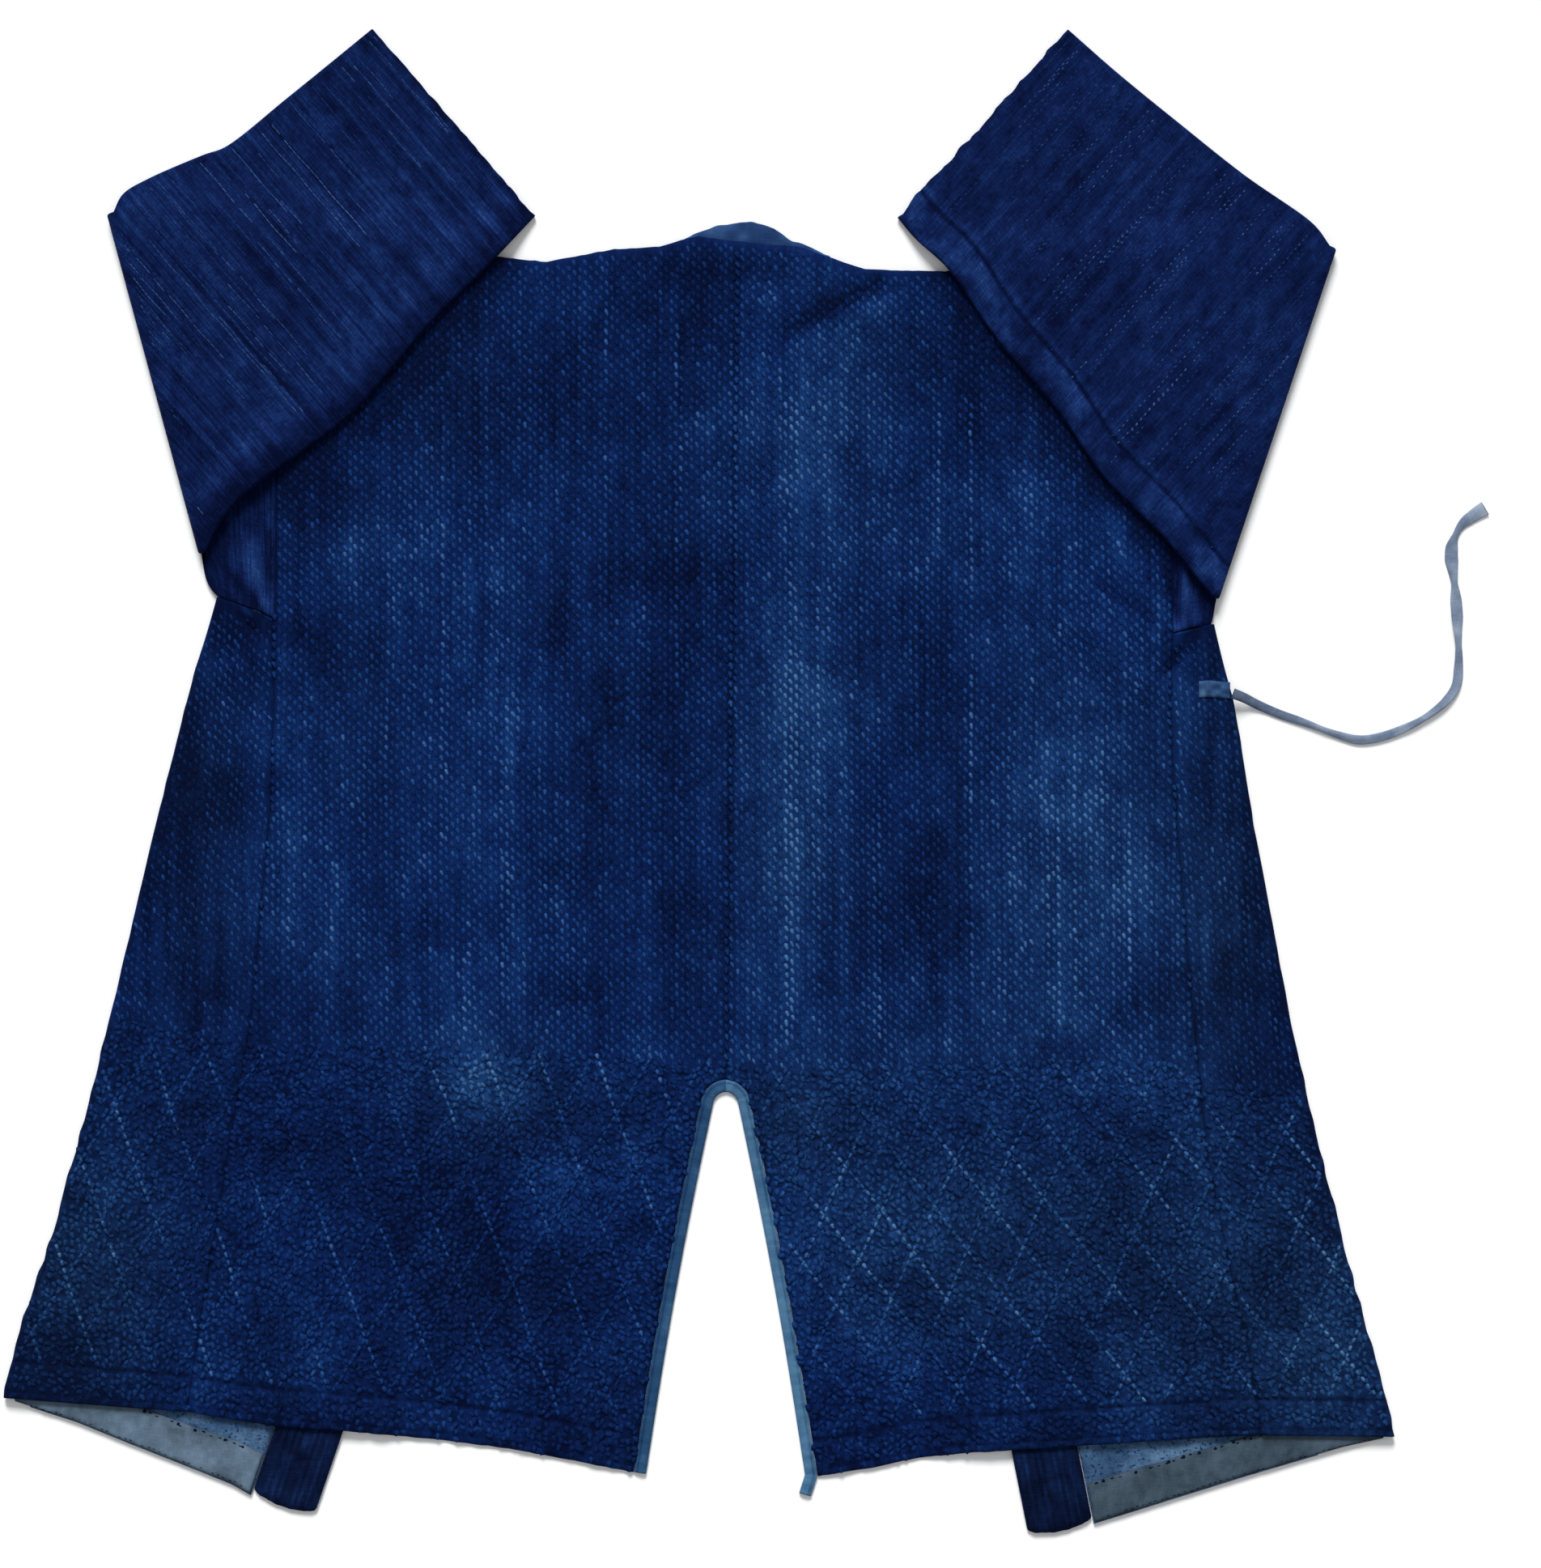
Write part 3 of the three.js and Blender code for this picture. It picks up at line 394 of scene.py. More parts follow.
def back_lift(x, y):
    """The height of the back's underside without folds, eased down between the bands and at armholes."""
    in_gap = np.minimum(x - band_edge("left", y, 1), band_edge("right", y, -1) - x)
    lift = OVER_FRONTS * (1 - ease((in_gap - BAND_CLEAR) / BAND_DROP))
    for side in SIDES.values():
        below = unit((side["seam"][0] - y) / ARMHOLE_DROP)
        away = unit(np.abs(x - side["armhole"]) / ARMHOLE_DROP)
        lift = np.minimum(lift, mix(OVER_ARMHOLE, OVER_FRONTS, ease(np.maximum(below, away))))
    shoulder = ease(from_top(x, y) / ARMHOLE_DROP)
    collar = 1 - ease((np.abs(x - COLLAR_MIDDLE) - COLLAR_HALF) / COLLAR_FADE)
    return np.minimum(lift, mix(OVER_ARMHOLE, OVER_FRONTS, np.maximum(shoulder, collar)))


def body_folds(x, y):
    """The folds of the solids and the finer creases together."""
    return crease_lift(FOLDS, x, y) + crease_lift(CREASES, x, y)


def crepe_share(x, y):
    """0 in the rice-grain weave and 1 in the crepe below it."""
    return ease((look_up(WEAVE_END, "x", x, "y") - y) / 5 + 0.5)


def hem_rows(above):
    """Narrow bells, 1 on the two stitched rows of the hem: the main one and the one by its edge."""
    return bell(above - HEM_TURN, 1.1), bell(above - HEM_ROW, 1.0)


def hem_profile(above):
    """The relief of a turned hem by the distance above its edge: thicker, with two stitched grooves."""
    doubled = 0.5 * (1 - ease((above - HEM_TURN + 1.5) / 2))
    main, low = hem_rows(above)
    return doubled - 0.9 * main - 0.5 * low


def surface_relief(x, y, above_hem=None):
    """The cloth's own relief: a slow swell, the crumple of crepe below the weave's end, and the hem."""
    above_hem = from_hem(x, y) if above_hem is None else above_hem
    swell = 0.35 * soft_noise(x, y, 60, 11)
    crumple = 0.85 * soft_noise(x, y * 1.25, 8.5, 12) + 0.55 * soft_noise(x * 1.2, y, 5.2, 13)
    return swell + crepe_share(x, y) * crumple + hem_profile(above_hem)


def body_under(x, y):
    """The height of the back's underside: it follows the ridges, and hardly sinks in the troughs."""
    return back_lift(x, y) + np.maximum(body_folds(x, y), UNDER_LOWEST)


def body_top(x, y):
    """The height of the back's upper face."""
    level = back_lift(x, y) + body_folds(x, y) + BODY_CLOTH + surface_relief(x, y)
    return np.maximum(level, body_under(x, y) + CLOTH_LEAST)


def line_distance(line, x, y):
    """The distance of points from a line of straight stretches."""
    return np.min([beside(*a, *b, x, y)[1] for a, b in zip(line[:-1], line[1:])], axis=0)


def painted_sleeve_shadow(x, y):
    """How much darker the back is next to the folded sleeves: a painted shadow along their underarm edges.
    """
    left, right = (line_distance(SLEEVES[side]["underarm"], x, y) for side in SIDES)
    return 0.36 * bell(left, 14) + 0.28 * bell(right, 11)


def slub_light(x, y):
    """How much brighter the bright slub threads are: a narrow bell round each, eased at its ends."""
    light = np.zeros(np.broadcast(x, y).shape)
    for at, high, low, bright in zip(*SLUB_COLUMNS.values()):
        wander = at + 0.8 * soft_noise(y, at, 70, 25)
        reach = ease((high - y) / 14) * ease((y - low) / 14)
        light = light + bright * reach * bell(x - wander, 1.7)
    return light


def patches(rows, x, y):
    """The sum of soft round patches: each is its amount * exp(-(dx / half_x)² - (dy / half_y)²)."""
    total = np.zeros(np.broadcast(x, y).shape)
    for px, py, half_x, half_y, amount in zip(*rows.values()):
        total = total + amount * bell(x - px, half_x) * bell(y - py, half_y)
    return total


def fade_and_painted_shade(x, y):
    """How faded the body's cloth is, with painted shade, from 0 to 1: soft patches, and streaks along the
    warp columns.

    Painted shade darkens it by the armpits and next to the folded sleeves' underarm edges. The ridges of
    creases are lighter, partly fading from use and partly a painted highlight; their troughs get painted
    shade, and the hem's stitched rows stay dark.
    """
    # Soft patches, with painted shade in the dark ones by the sleeves and collar, less the painted shade by
    # the armpits.
    lighter = 0.8 * patches(PATCHES, x, y) - 0.6 * patches(SHADES, x, y)
    crepe = crepe_share(x, y)
    streaks = 0.055 * soft_noise(x * 14, y, 130, 21) + 0.05 * soft_noise(x * 30, y, 120, 22)
    cloud = 0.11 * soft_noise(x, y, 46, 23) + 0.08 * soft_noise(x, y, 19, 24)
    # Crease ridges lighter, partly fading from use and partly a painted highlight; crease troughs darker,
    # painted shade.
    rubbed_and_painted_light = 0.14 * np.clip(crease_lift(CREASES, x, y), -2.2, 1.3)
    main, low = hem_rows(from_hem(x, y))
    level = 0.36 - 0.025 * crepe + lighter - painted_sleeve_shadow(x, y) + rubbed_and_painted_light - 0.15 * main - 0.10 * low
    return unit(level + streaks * (1 - 0.75 * crepe) + cloud)


def ground(x, y):
    """How faded the cloth is between its grains and bumps, painted shade included, where it is always
    darker than they are.
    """
    return unit(fade_and_painted_shade(x, y) - 0.12)


def greener(x, y):
    """How far the indigo has turned greener, from 0 to 1: soft patches and a slow cloud."""
    return unit(patches(GREENER, x, y) + 0.12 * soft_noise(x, y, 55, 26))


# Finishes

def node(tree, kind, sockets=None, **settings):
    """Adds a node, with each named socket set to a value or linked from another node's output."""
    made = tree.nodes.new(kind)
    for key, value in settings.items():
        setattr(made, key, value)
    for key, value in (sockets or {}).items():
        if isinstance(value, bpy.types.NodeSocket):
            tree.links.new(value, made.inputs[key])
        else:
            made.inputs[key].default_value = value
    return made


def maths(tree, operation, a, b):
    """The result of a Math node on two sockets or numbers."""
    return node(tree, "ShaderNodeMath", {0: a, 1: b}, operation=operation).outputs[0]


def blank_finish(name, roughness, sheen):
    """A Principled material with the plain numbers of cloth set on its own sockets."""
    material = bpy.data.materials.new(name)
    material.use_nodes = True
    shader = material.node_tree.nodes["Principled BSDF"]
    shader.inputs["Roughness"].default_value = roughness
    shader.inputs["Specular IOR Level"].default_value = 0.04
    shader.inputs["Sheen Weight"].default_value = sheen
    shader.inputs["Sheen Roughness"].default_value = 0.6
    shader.inputs["Sheen Tint"].default_value = (0.12, 0.30, 1.0, 1)
    return material, material.node_tree, shader


def ramp(tree, factor, colours):
    """A colour ramp with its stops spread evenly."""
    made = node(tree, "ShaderNodeValToRGB", {0: factor})
    stops = made.color_ramp.elements
    while len(stops) < len(colours):
        stops.new(0.5)
    for k, colour in enumerate(colours):
        stops[k].position = k / (len(colours) - 1)
        stops[k].color = (*colour, 1)
    return made.outputs[0]


def mixed_colour(tree, factor, a, b):
    """The colour a turned to b by a factor, through a Mix node's inputs 6 and 7 and its output 2."""
    made = node(tree, "ShaderNodeMix", data_type="RGBA")
    for socket, value in ((0, factor), (6, a), (7, b)):
        tree.links.new(value, made.inputs[socket])
    return made.outputs[2]


def scaled_noise(tree, vector, scale, detail=2.0):
    """Noise stretched by a scale for each direction."""
    mapping = node(tree, "ShaderNodeMapping", {"Vector": vector, "Scale": scale})
    sockets = {"Vector": mapping.outputs[0], "Scale": 1.0, "Detail": detail}
    return node(tree, "ShaderNodeTexNoise", sockets).outputs["Fac"]


def cloth_finish(name, colours, uv=False, thread=900, depth=0.25, mottle=0.5, roughness=0.93, sheen=0.02,
                 streak=None, crumple=0.0, specks=0.0, greened=None):
    """Woven cloth: colour from fading and painted shade, dye mottle and threads, bump from crossing
    threads.

    The threads are noise stretched along the warp plus noise stretched along the weft, `thread` to the
    metre, and `depth` is their relief in millimetres. `streak` is (across, along, amount): long noise that
    makes whole threads lighter or darker. `crumple` adds the lumps of crepe to the colour and the bump,
    and `specks` dark flecks. `greened` are the colours where the greener attribute is 1.
    """
    material, tree, shader = blank_finish(name, roughness, sheen)
    place = node(tree, "ShaderNodeTexCoord").outputs["UV" if uv else "Object"]
    # The attribute is how faded the cloth is, with painted shade and highlight in it on the back and
    # sleeves.
    faded = node(tree, "ShaderNodeAttribute", attribute_name="fade_and_painted_shade").outputs["Fac"]
    warp = scaled_noise(tree, place, (thread, thread / 5, thread / 5))
    weft = scaled_noise(tree, place, (thread / 5, thread, thread / 5))
    dye = scaled_noise(tree, place, (120, 60, 60), 4)
    threads = maths(tree, "ADD", warp, weft)
    parts = [(threads, 1.0, 0.6 * mottle), (dye, 0.5, 0.8 * mottle)]
    if streak:
        across, along, amount = streak
        parts.append((scaled_noise(tree, place, (across, along, along), 3), 0.5, amount))
    if crumple:
        lumps = scaled_noise(tree, place, (210, 170, 170), 3)
        parts.append((lumps, 0.5, 1.3 * crumple))
    if specks:
        flecks = maths(tree, "MAXIMUM", scaled_noise(tree, place, (420, 420, 420), 1), 0.6)
        parts.append((flecks, 0.6, -6 * specks))
    factor = faded
    for noise, middle, amount in parts:
        swing = maths(tree, "MULTIPLY", maths(tree, "SUBTRACT", noise, middle), amount)
        factor = maths(tree, "ADD", factor, swing)
    colour = ramp(tree, factor, colours)
    if greened:
        share = node(tree, "ShaderNodeAttribute", attribute_name="greener").outputs["Fac"]
        colour = mixed_colour(tree, share, colour, ramp(tree, factor, greened))
    tree.links.new(colour, shader.inputs["Base Color"])
    bump = node(tree, "ShaderNodeBump", {"Height": threads, "Distance": depth * MM, "Strength": 0.8})
    if crumple:
        lumped = {"Height": lumps, "Distance": 1.6 * crumple * MM, "Strength": 0.9}
        bump = node(tree, "ShaderNodeBump", {**lumped, "Normal": bump.outputs[0]})
    tree.links.new(bump.outputs[0], shader.inputs["Normal"])
    return material


# Colour ramps from the darkest to the most faded, as linear colours
INDIGO = [
    (0.0005, 0.0031, 0.022), (0.0020, 0.0122, 0.072), (0.0060, 0.0370, 0.158), (0.040, 0.118, 0.300),
]
GREEN_INDIGO = [
    (0.0013, 0.0050, 0.022), (0.0046, 0.0190, 0.067), (0.0125, 0.0520, 0.147), (0.056, 0.150, 0.290),
]
SLEEVE_INDIGO = [
    (0.0007, 0.0030, 0.023), (0.0028, 0.0104, 0.061), (0.0078, 0.0285, 0.124), (0.042, 0.096, 0.240),
]
BAND_INDIGO = [(0.0006, 0.0024, 0.013), (0.0022, 0.0078, 0.036), (0.0066, 0.0220, 0.084)]
INSIDE = [(0.010, 0.030, 0.080), (0.037, 0.083, 0.165), (0.10, 0.18, 0.30)]
NAPE_BLUE = [(0.007, 0.022, 0.075), (0.016, 0.045, 0.135), (0.04, 0.095, 0.21)]
FACING_GREY = [(0.020, 0.032, 0.045), (0.056, 0.086, 0.118), (0.125, 0.185, 0.26)]
TAPE_TEAL = [(0.005, 0.022, 0.070), (0.019, 0.062, 0.142), (0.066, 0.158, 0.270)]
TIE_BLUE = [(0.034, 0.054, 0.098), (0.150, 0.195, 0.280), (0.32, 0.38, 0.46)]
TAB_BLUE = [(0.008, 0.024, 0.075), (0.026, 0.065, 0.157), (0.07, 0.13, 0.24)]

indigo = cloth_finish("indigo_sashiko", INDIGO, streak=(340, 6, 0.4), greened=GREEN_INDIGO)
crepe_indigo = cloth_finish("indigo_crepe", INDIGO, mottle=0.4, crumple=0.7, greened=GREEN_INDIGO)
stitch_indigo = cloth_finish(
    "indigo_rice_stitch", INDIGO, thread=1500, depth=0.12, mottle=0.35, greened=GREEN_INDIGO,
)
sleeve_indigo = {
    side: cloth_finish(f"indigo_sleeve_{side}", SLEEVE_INDIGO, uv=True, mottle=0.9, streak=(620, 7, amount))
    for side, amount in (("left", 1.0), ("right", 0.55))
}
slub_indigo = cloth_finish("indigo_slub", SLEEVE_INDIGO, thread=1500, depth=0.1, mottle=0.3)
band_indigo = cloth_finish("indigo_band", BAND_INDIGO, mottle=0.95)
inside_cloth = cloth_finish("inside_cloth", INSIDE, depth=0.4, mottle=0.8, specks=1.1)
body_finishes = [indigo, crepe_indigo, inside_cloth]
nape_blue = cloth_finish("nape_cloth", NAPE_BLUE)
facing_grey = cloth_finish("hem_facing", FACING_GREY, thread=1200, depth=0.1, mottle=0.5)
tape_teal = cloth_finish("vent_tape", TAPE_TEAL, thread=1200, depth=0.12, mottle=0.4)
tie_blue = cloth_finish("tie_cloth", TIE_BLUE, uv=True, thread=1200, depth=0.15)
tab_blue = cloth_finish("tab_cloth", TAB_BLUE, uv=True, thread=1200, depth=0.15)
dark_thread = cloth_finish("dark_thread", BAND_INDIGO, thread=2000, depth=0.05, mottle=0.2)


# Meshes

def add_object(name, data):
    """An object at the origin, linked to the scene."""
    made = bpy.data.objects.new(name, data)
    bpy.context.scene.collection.objects.link(made)
    return made


def add_marks(mesh, name, values):
    """A number from 0 to 1 at each point of a mesh, for its material to read."""
    held = unit(values).ravel().astype(np.float32)
    mesh.attributes.new(name, "FLOAT", "POINT").data.foreach_set("value", held)


def put_mesh(name, points, faces, finishes, slot, marks, uv=None, which=None):
    """A piece from points in millimetres and faces, riding on the root, smooth, with its attributes.

    `marks` is how faded each point is, with painted shade on some pieces, `uv` its place on the flat cloth
    in millimetres, and `which` the number of each face's finish.
    """
    mesh = bpy.data.meshes.new(name)
    mesh.from_pydata(points * MM, [], faces)
    for finish in finishes:
        mesh.materials.append(finish)
    if which is not None:
        mesh.polygons.foreach_set("material_index", which.astype(np.int32))
    add_marks(mesh, "fade_and_painted_shade", marks)
    if slot == "indigo_sashiko":
        add_marks(mesh, "greener", greener(points[:, 0], points[:, 1]))
    if uv is not None:
        corners = np.empty(len(mesh.loops), np.int32)
        mesh.loops.foreach_get("vertex_index", corners)
        flat = (uv[corners] * MM).ravel().astype(np.float32)
        mesh.uv_layers.new(name="cloth").uv.foreach_set("vector", flat)
    mesh.shade_smooth()
    mesh.update()
    piece = add_object(name, mesh)
    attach(piece, "root")
    return piece


def numbered(rows, columns):
    """A grid of vertex numbers, row by row."""
    return np.arange(rows * columns).reshape(rows, columns)


def grid_quads(numbers, looped=False):
    """The quads of a grid of vertex numbers, counter-clockwise when rows go down and columns right."""
    right = np.roll(numbers, -1, axis=1) if looped else numbers[:, 1:]
    left = numbers if looped else numbers[:, :-1]
    return np.stack([left[:-1], left[1:], right[1:], right[:-1]], axis=-1).reshape(-1, 4)


def turned_outward(points, faces):
    """Faces, turned over if the volume that they enclose comes out negative."""
    a, b, *others = (points[faces[:, k]] for k in range(faces.shape[1]))
    volume = 0
    for c in others:
        volume += np.sum(a * np.cross(b, c))
        b = c
    return faces[:, ::-1] if volume < 0 else faces


def put_wall(name, outer, inner, quads, finishes, slot, marks, uv=None, crumpled=None):
    """A closed wall of cloth: one sheet of points twice, with a rim round each open edge.

    An open edge is a directed edge whose reverse no quad has. The last finish is the inner sheet's, and
    where `crumpled` marks points the second one is the outer sheet's.
    """
    outer, inner = outer.reshape(-1, 3), inner.reshape(-1, 3)
    count = len(outer)
    edges = np.vstack([quads[:, [k, (k + 1) % 4]] for k in range(4)])
    lone = ~np.isin(edges[:, 1] * count + edges[:, 0], edges[:, 0] * count + edges[:, 1])
    a, b = edges[lone].T
    rim = np.column_stack([b, a, a + count, b + count])
    faces = np.vstack([quads, quads[:, ::-1] + count, rim])
    points = np.vstack([outer, inner])
    which = np.repeat([0, len(finishes) - 1, 0], [len(quads), len(quads), len(rim)])
    if crumpled is not None:
        which[: len(quads)] = crumpled.ravel()[quads].mean(axis=1) > 0.5
    marks = np.tile(np.ravel(marks), 2)
    uv = None if uv is None else np.tile(uv, (2, 1))
    return put_mesh(name, points, turned_outward(points, faces), finishes, slot, marks, uv, which)


def between(x, y, high, low):
    """The upper and the lower points of a cloth over a grid of (x, y), at two heights."""
    return [np.dstack([x, y, np.broadcast_to(height, x.shape)]) for height in (high, low)]


def put_grid(name, top, under, finishes, slot, marks, uv=None, crumpled=None):
    """A closed wall over one plain grid of points."""
    quads = grid_quads(numbered(*top.shape[:2]))
    return put_wall(name, top, under, quads, finishes, slot, marks, uv, crumpled)


# A stitch's six-sided foot and two-point ridge, as shares of its length and half width, and its faces
STITCH_FOOT = np.array([(0, 0), (0.22, 1), (0.78, 1), (1, 0), (0.78, -1), (0.22, -1)])
STITCH_RIDGE = np.array([(0.24, 0), (0.76, 0)])
STITCH_SHADE = np.repeat([-0.07, 0.07], [len(STITCH_FOOT), len(STITCH_RIDGE)])
STITCH_FACES = np.array([
    (0, 5, 6), (5, 4, 7), (5, 7, 6), (4, 3, 7), (3, 2, 7), (2, 1, 6), (2, 6, 7), (1, 0, 6),
    (0, 1, 2), (0, 2, 3), (0, 3, 4), (0, 4, 5),
])


def put_stitches(name, tail, head, width, height, finish, slot, marks, sunk=0.25):
    """Joined stitches, each a low grain from tail to head.

    A grain's foot is `sunk` in the cloth, and its ridge stands `height` above it and is a little lighter.
    """
    along = head - tail
    flat = np.hypot(along[:, 0], along[:, 1]) + 1e-9
    sideways = np.broadcast_to(width, len(tail)) / 2 / flat
    across = np.column_stack([-along[:, 1] * sideways, along[:, 0] * sideways, 0 * sideways])
    shares = np.vstack([STITCH_FOOT, STITCH_RIDGE])
    points = tail[:, None] + shares[None, :, :1] * along[:, None] + shares[None, :, 1:] * across[:, None]
    rise = np.repeat([-sunk, 1.0], [len(STITCH_FOOT), len(STITCH_RIDGE)])[None, :]
    tall = np.broadcast_to(height, len(tail))[:, None]
    points[:, :, 2] += np.where(rise < 0, rise, rise * tall)
    first = np.arange(len(tail))[:, None, None] * len(shares)
    faces = (STITCH_FACES[None] + first).reshape(-1, 3)
    shaded = np.repeat(marks, len(shares)) + np.tile(STITCH_SHADE, len(tail))
    return put_mesh(name, points.reshape(-1, 3), faces, [finish], slot, shaded)


def on_heights(x, y, height):
    """Points over (x, y) at the height that a function gives there."""
    return np.column_stack([x, y, height(x, y)])


def dashes(line, pitch, length, level, seed, wander=0.3):
    """Tails and heads of a row of running stitches along a line of (x, y) points, on `level`'s heights."""
    total = np.sum(step_lengths(line))
    rng = np.random.default_rng(seed)
    start = np.arange(pitch / 2, total - length, pitch)
    start = start + rng.uniform(-0.1, 0.1, len(start)) * pitch
    tail, head = along_line(line, start / total), along_line(line, (start + length) / total)
    shift = rng.normal(0, wander, (len(start), 2))
    return [on_heights(*(p + shift).T, level) for p in (tail, head)]


def put_stitch_sets(name, sets, finish, slot, sunk=0.25):
    """One piece from sets of stitches, each (tail, head, width, height, marks) with numbers or arrays."""

    def joined(k):
        return np.concatenate([np.broadcast_to(np.asarray(s[k], float), len(s[0])) for s in sets])

    tail, head = (np.vstack([s[k] for s in sets]) for k in (0, 1))
    width, height, marks = (joined(k) for k in (2, 3, 4))
    return put_stitches(name, tail, head, width, height, finish, slot, marks, sunk)


# Camera and tie

def set_camera():
    """A camera straight above the jacket with a long lens, framed as the photo is."""
    camera = bpy.data.cameras.new("camera")
    camera.sensor_fit = "VERTICAL"
    camera.sensor_height = SENSOR
    camera.lens = SENSOR * CAMERA_HEIGHT / VIEW_HEIGHT
    camera.clip_end = 20
    stand = add_object("camera", camera)
    stand.location = (*VIEW_MIDDLE, CAMERA_HEIGHT)
    bpy.context.scene.camera = stand


def put_tie():
    """The tie: flat oval rings along its route, swinging about it as the tape twists.

    A ring's point at angle p is (width/2 * cos p, thick/2 * |sin p|^0.7 with the sign of sin p) and a
    slight ripple, turned by TIE_SWING * sin(turn). Each ring is lifted until its lowest point is on the
    surface that the route follows.
    """
    line = curve_through(np.array(TIE_ROUTE) / MM)
    share = np.linspace(0, 1, TIE_RINGS)
    centre = along_line(line, share)
    ahead = np.gradient(centre, axis=0)
    side = np.column_stack([-ahead[:, 1], ahead[:, 0], np.zeros(TIE_RINGS)])
    side /= np.linalg.norm(side, axis=1)[:, None]
    width, thick, turn = (look_up(TIE_SHAPE, "share", share, k) for k in ("width", "thick", "turn"))
    turn = TIE_SWING * np.sin(turn)
    angle = np.linspace(0, 2 * np.pi, TIE_SIDES, endpoint=False)[None]
    flat = width[:, None] / 2 * np.cos(angle)
    tall = thick[:, None] / 2 * np.sign(np.sin(angle)) * np.abs(np.sin(angle)) ** 0.7
    tall = tall + 0.14 * np.cos(3 * angle + 9 * share[:, None])
    across = flat * np.cos(turn)[:, None] - tall * np.sin(turn)[:, None]
    up = flat * np.sin(turn)[:, None] + tall * np.cos(turn)[:, None]
    lift = centre[:, 2] - TIE_THICK / 2 - up.min(axis=1)
    points = centre[:, None] * [1, 1, 0] + across[..., None] * side[:, None]
    points[..., 2] = up + lift[:, None]
    path = points.mean(axis=1)
    numbers, count = numbered(TIE_RINGS, TIE_SIDES), TIE_RINGS * TIE_SIDES
    quads = grid_quads(numbers, looped=True)
    start_cap = np.column_stack([np.roll(numbers[0], -1), numbers[0], np.full(TIE_SIDES, count)])
    end_cap = np.column_stack([numbers[-1], np.roll(numbers[-1], -1), np.full(TIE_SIDES, count + 1)])
    triangles = np.vstack([quads[:, [0, 1, 2]], quads[:, [0, 2, 3]], start_cap, end_cap])
    everything = np.vstack([points.reshape(-1, 3), path[:1], path[-1:]])
    length = np.sum(step_lengths(path))
    round_tape = np.arange(TIE_SIDES) * TIE_WIDTH / TIE_SIDES * 2
    uv = np.column_stack([np.repeat(share * length, TIE_SIDES), np.tile(round_tape, TIE_RINGS)])
    uv = np.vstack([uv, uv[:1], uv[-1:]])
    from_tab = ease((uv[:, 0] / length - 0.06) / 0.12)
    faded = 0.21 + 0.36 * from_tab + 0.20 * soft_noise(uv[:, 0], uv[:, 1], 9, 31)
    faded = faded + 0.22 * ease((uv[:, 0] / length - 0.93) / 0.07)
    triangles = turned_outward(everything, triangles)
    tie = put_mesh("tie_tape", everything, triangles, [tie_blue], "tie_cloth", faded, uv)
    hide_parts("tie")


# Body

def side_point(side, line, t):
    """A point of a side's gore seam or outline fold, from armpit (0) to hem (1)."""
    high, low = SIDES[side][line]
    return np.stack([look_up(COURSES, "t", t, f"{line}_{side}"), mix(high, low, t)], axis=-1)


def gore_course(side, t):
    """Seam points, unit vectors across, widths to the fold, and how much goes under, at courses t."""
    seam = side_point(side, "seam", t)
    across = side_point(side, "fold", t) - seam
    width = np.linalg.norm(across, axis=-1)
    return seam, across / width[..., None], width, look_up(COURSES, "t", t, "gore") - width


# Grid rows of the back above the vent, beside it and in its last HEM_REACH, and columns of a half
ABOVE_VENT = 148
VENT_ROWS, HEM_ROWS, HEM_REACH = 74, 22, 30
BELOW_VENT = VENT_ROWS + HEM_ROWS
HALF_COLUMNS = 84

# Courses of the part's back above and below the vent's top, the power of their spacing, and the armhole
HIGH_COURSES, LOW_COURSES, VENT_POWER = 24, 12, 1.8
ARMPIT_SHARE = 9 / HIGH_COURSES


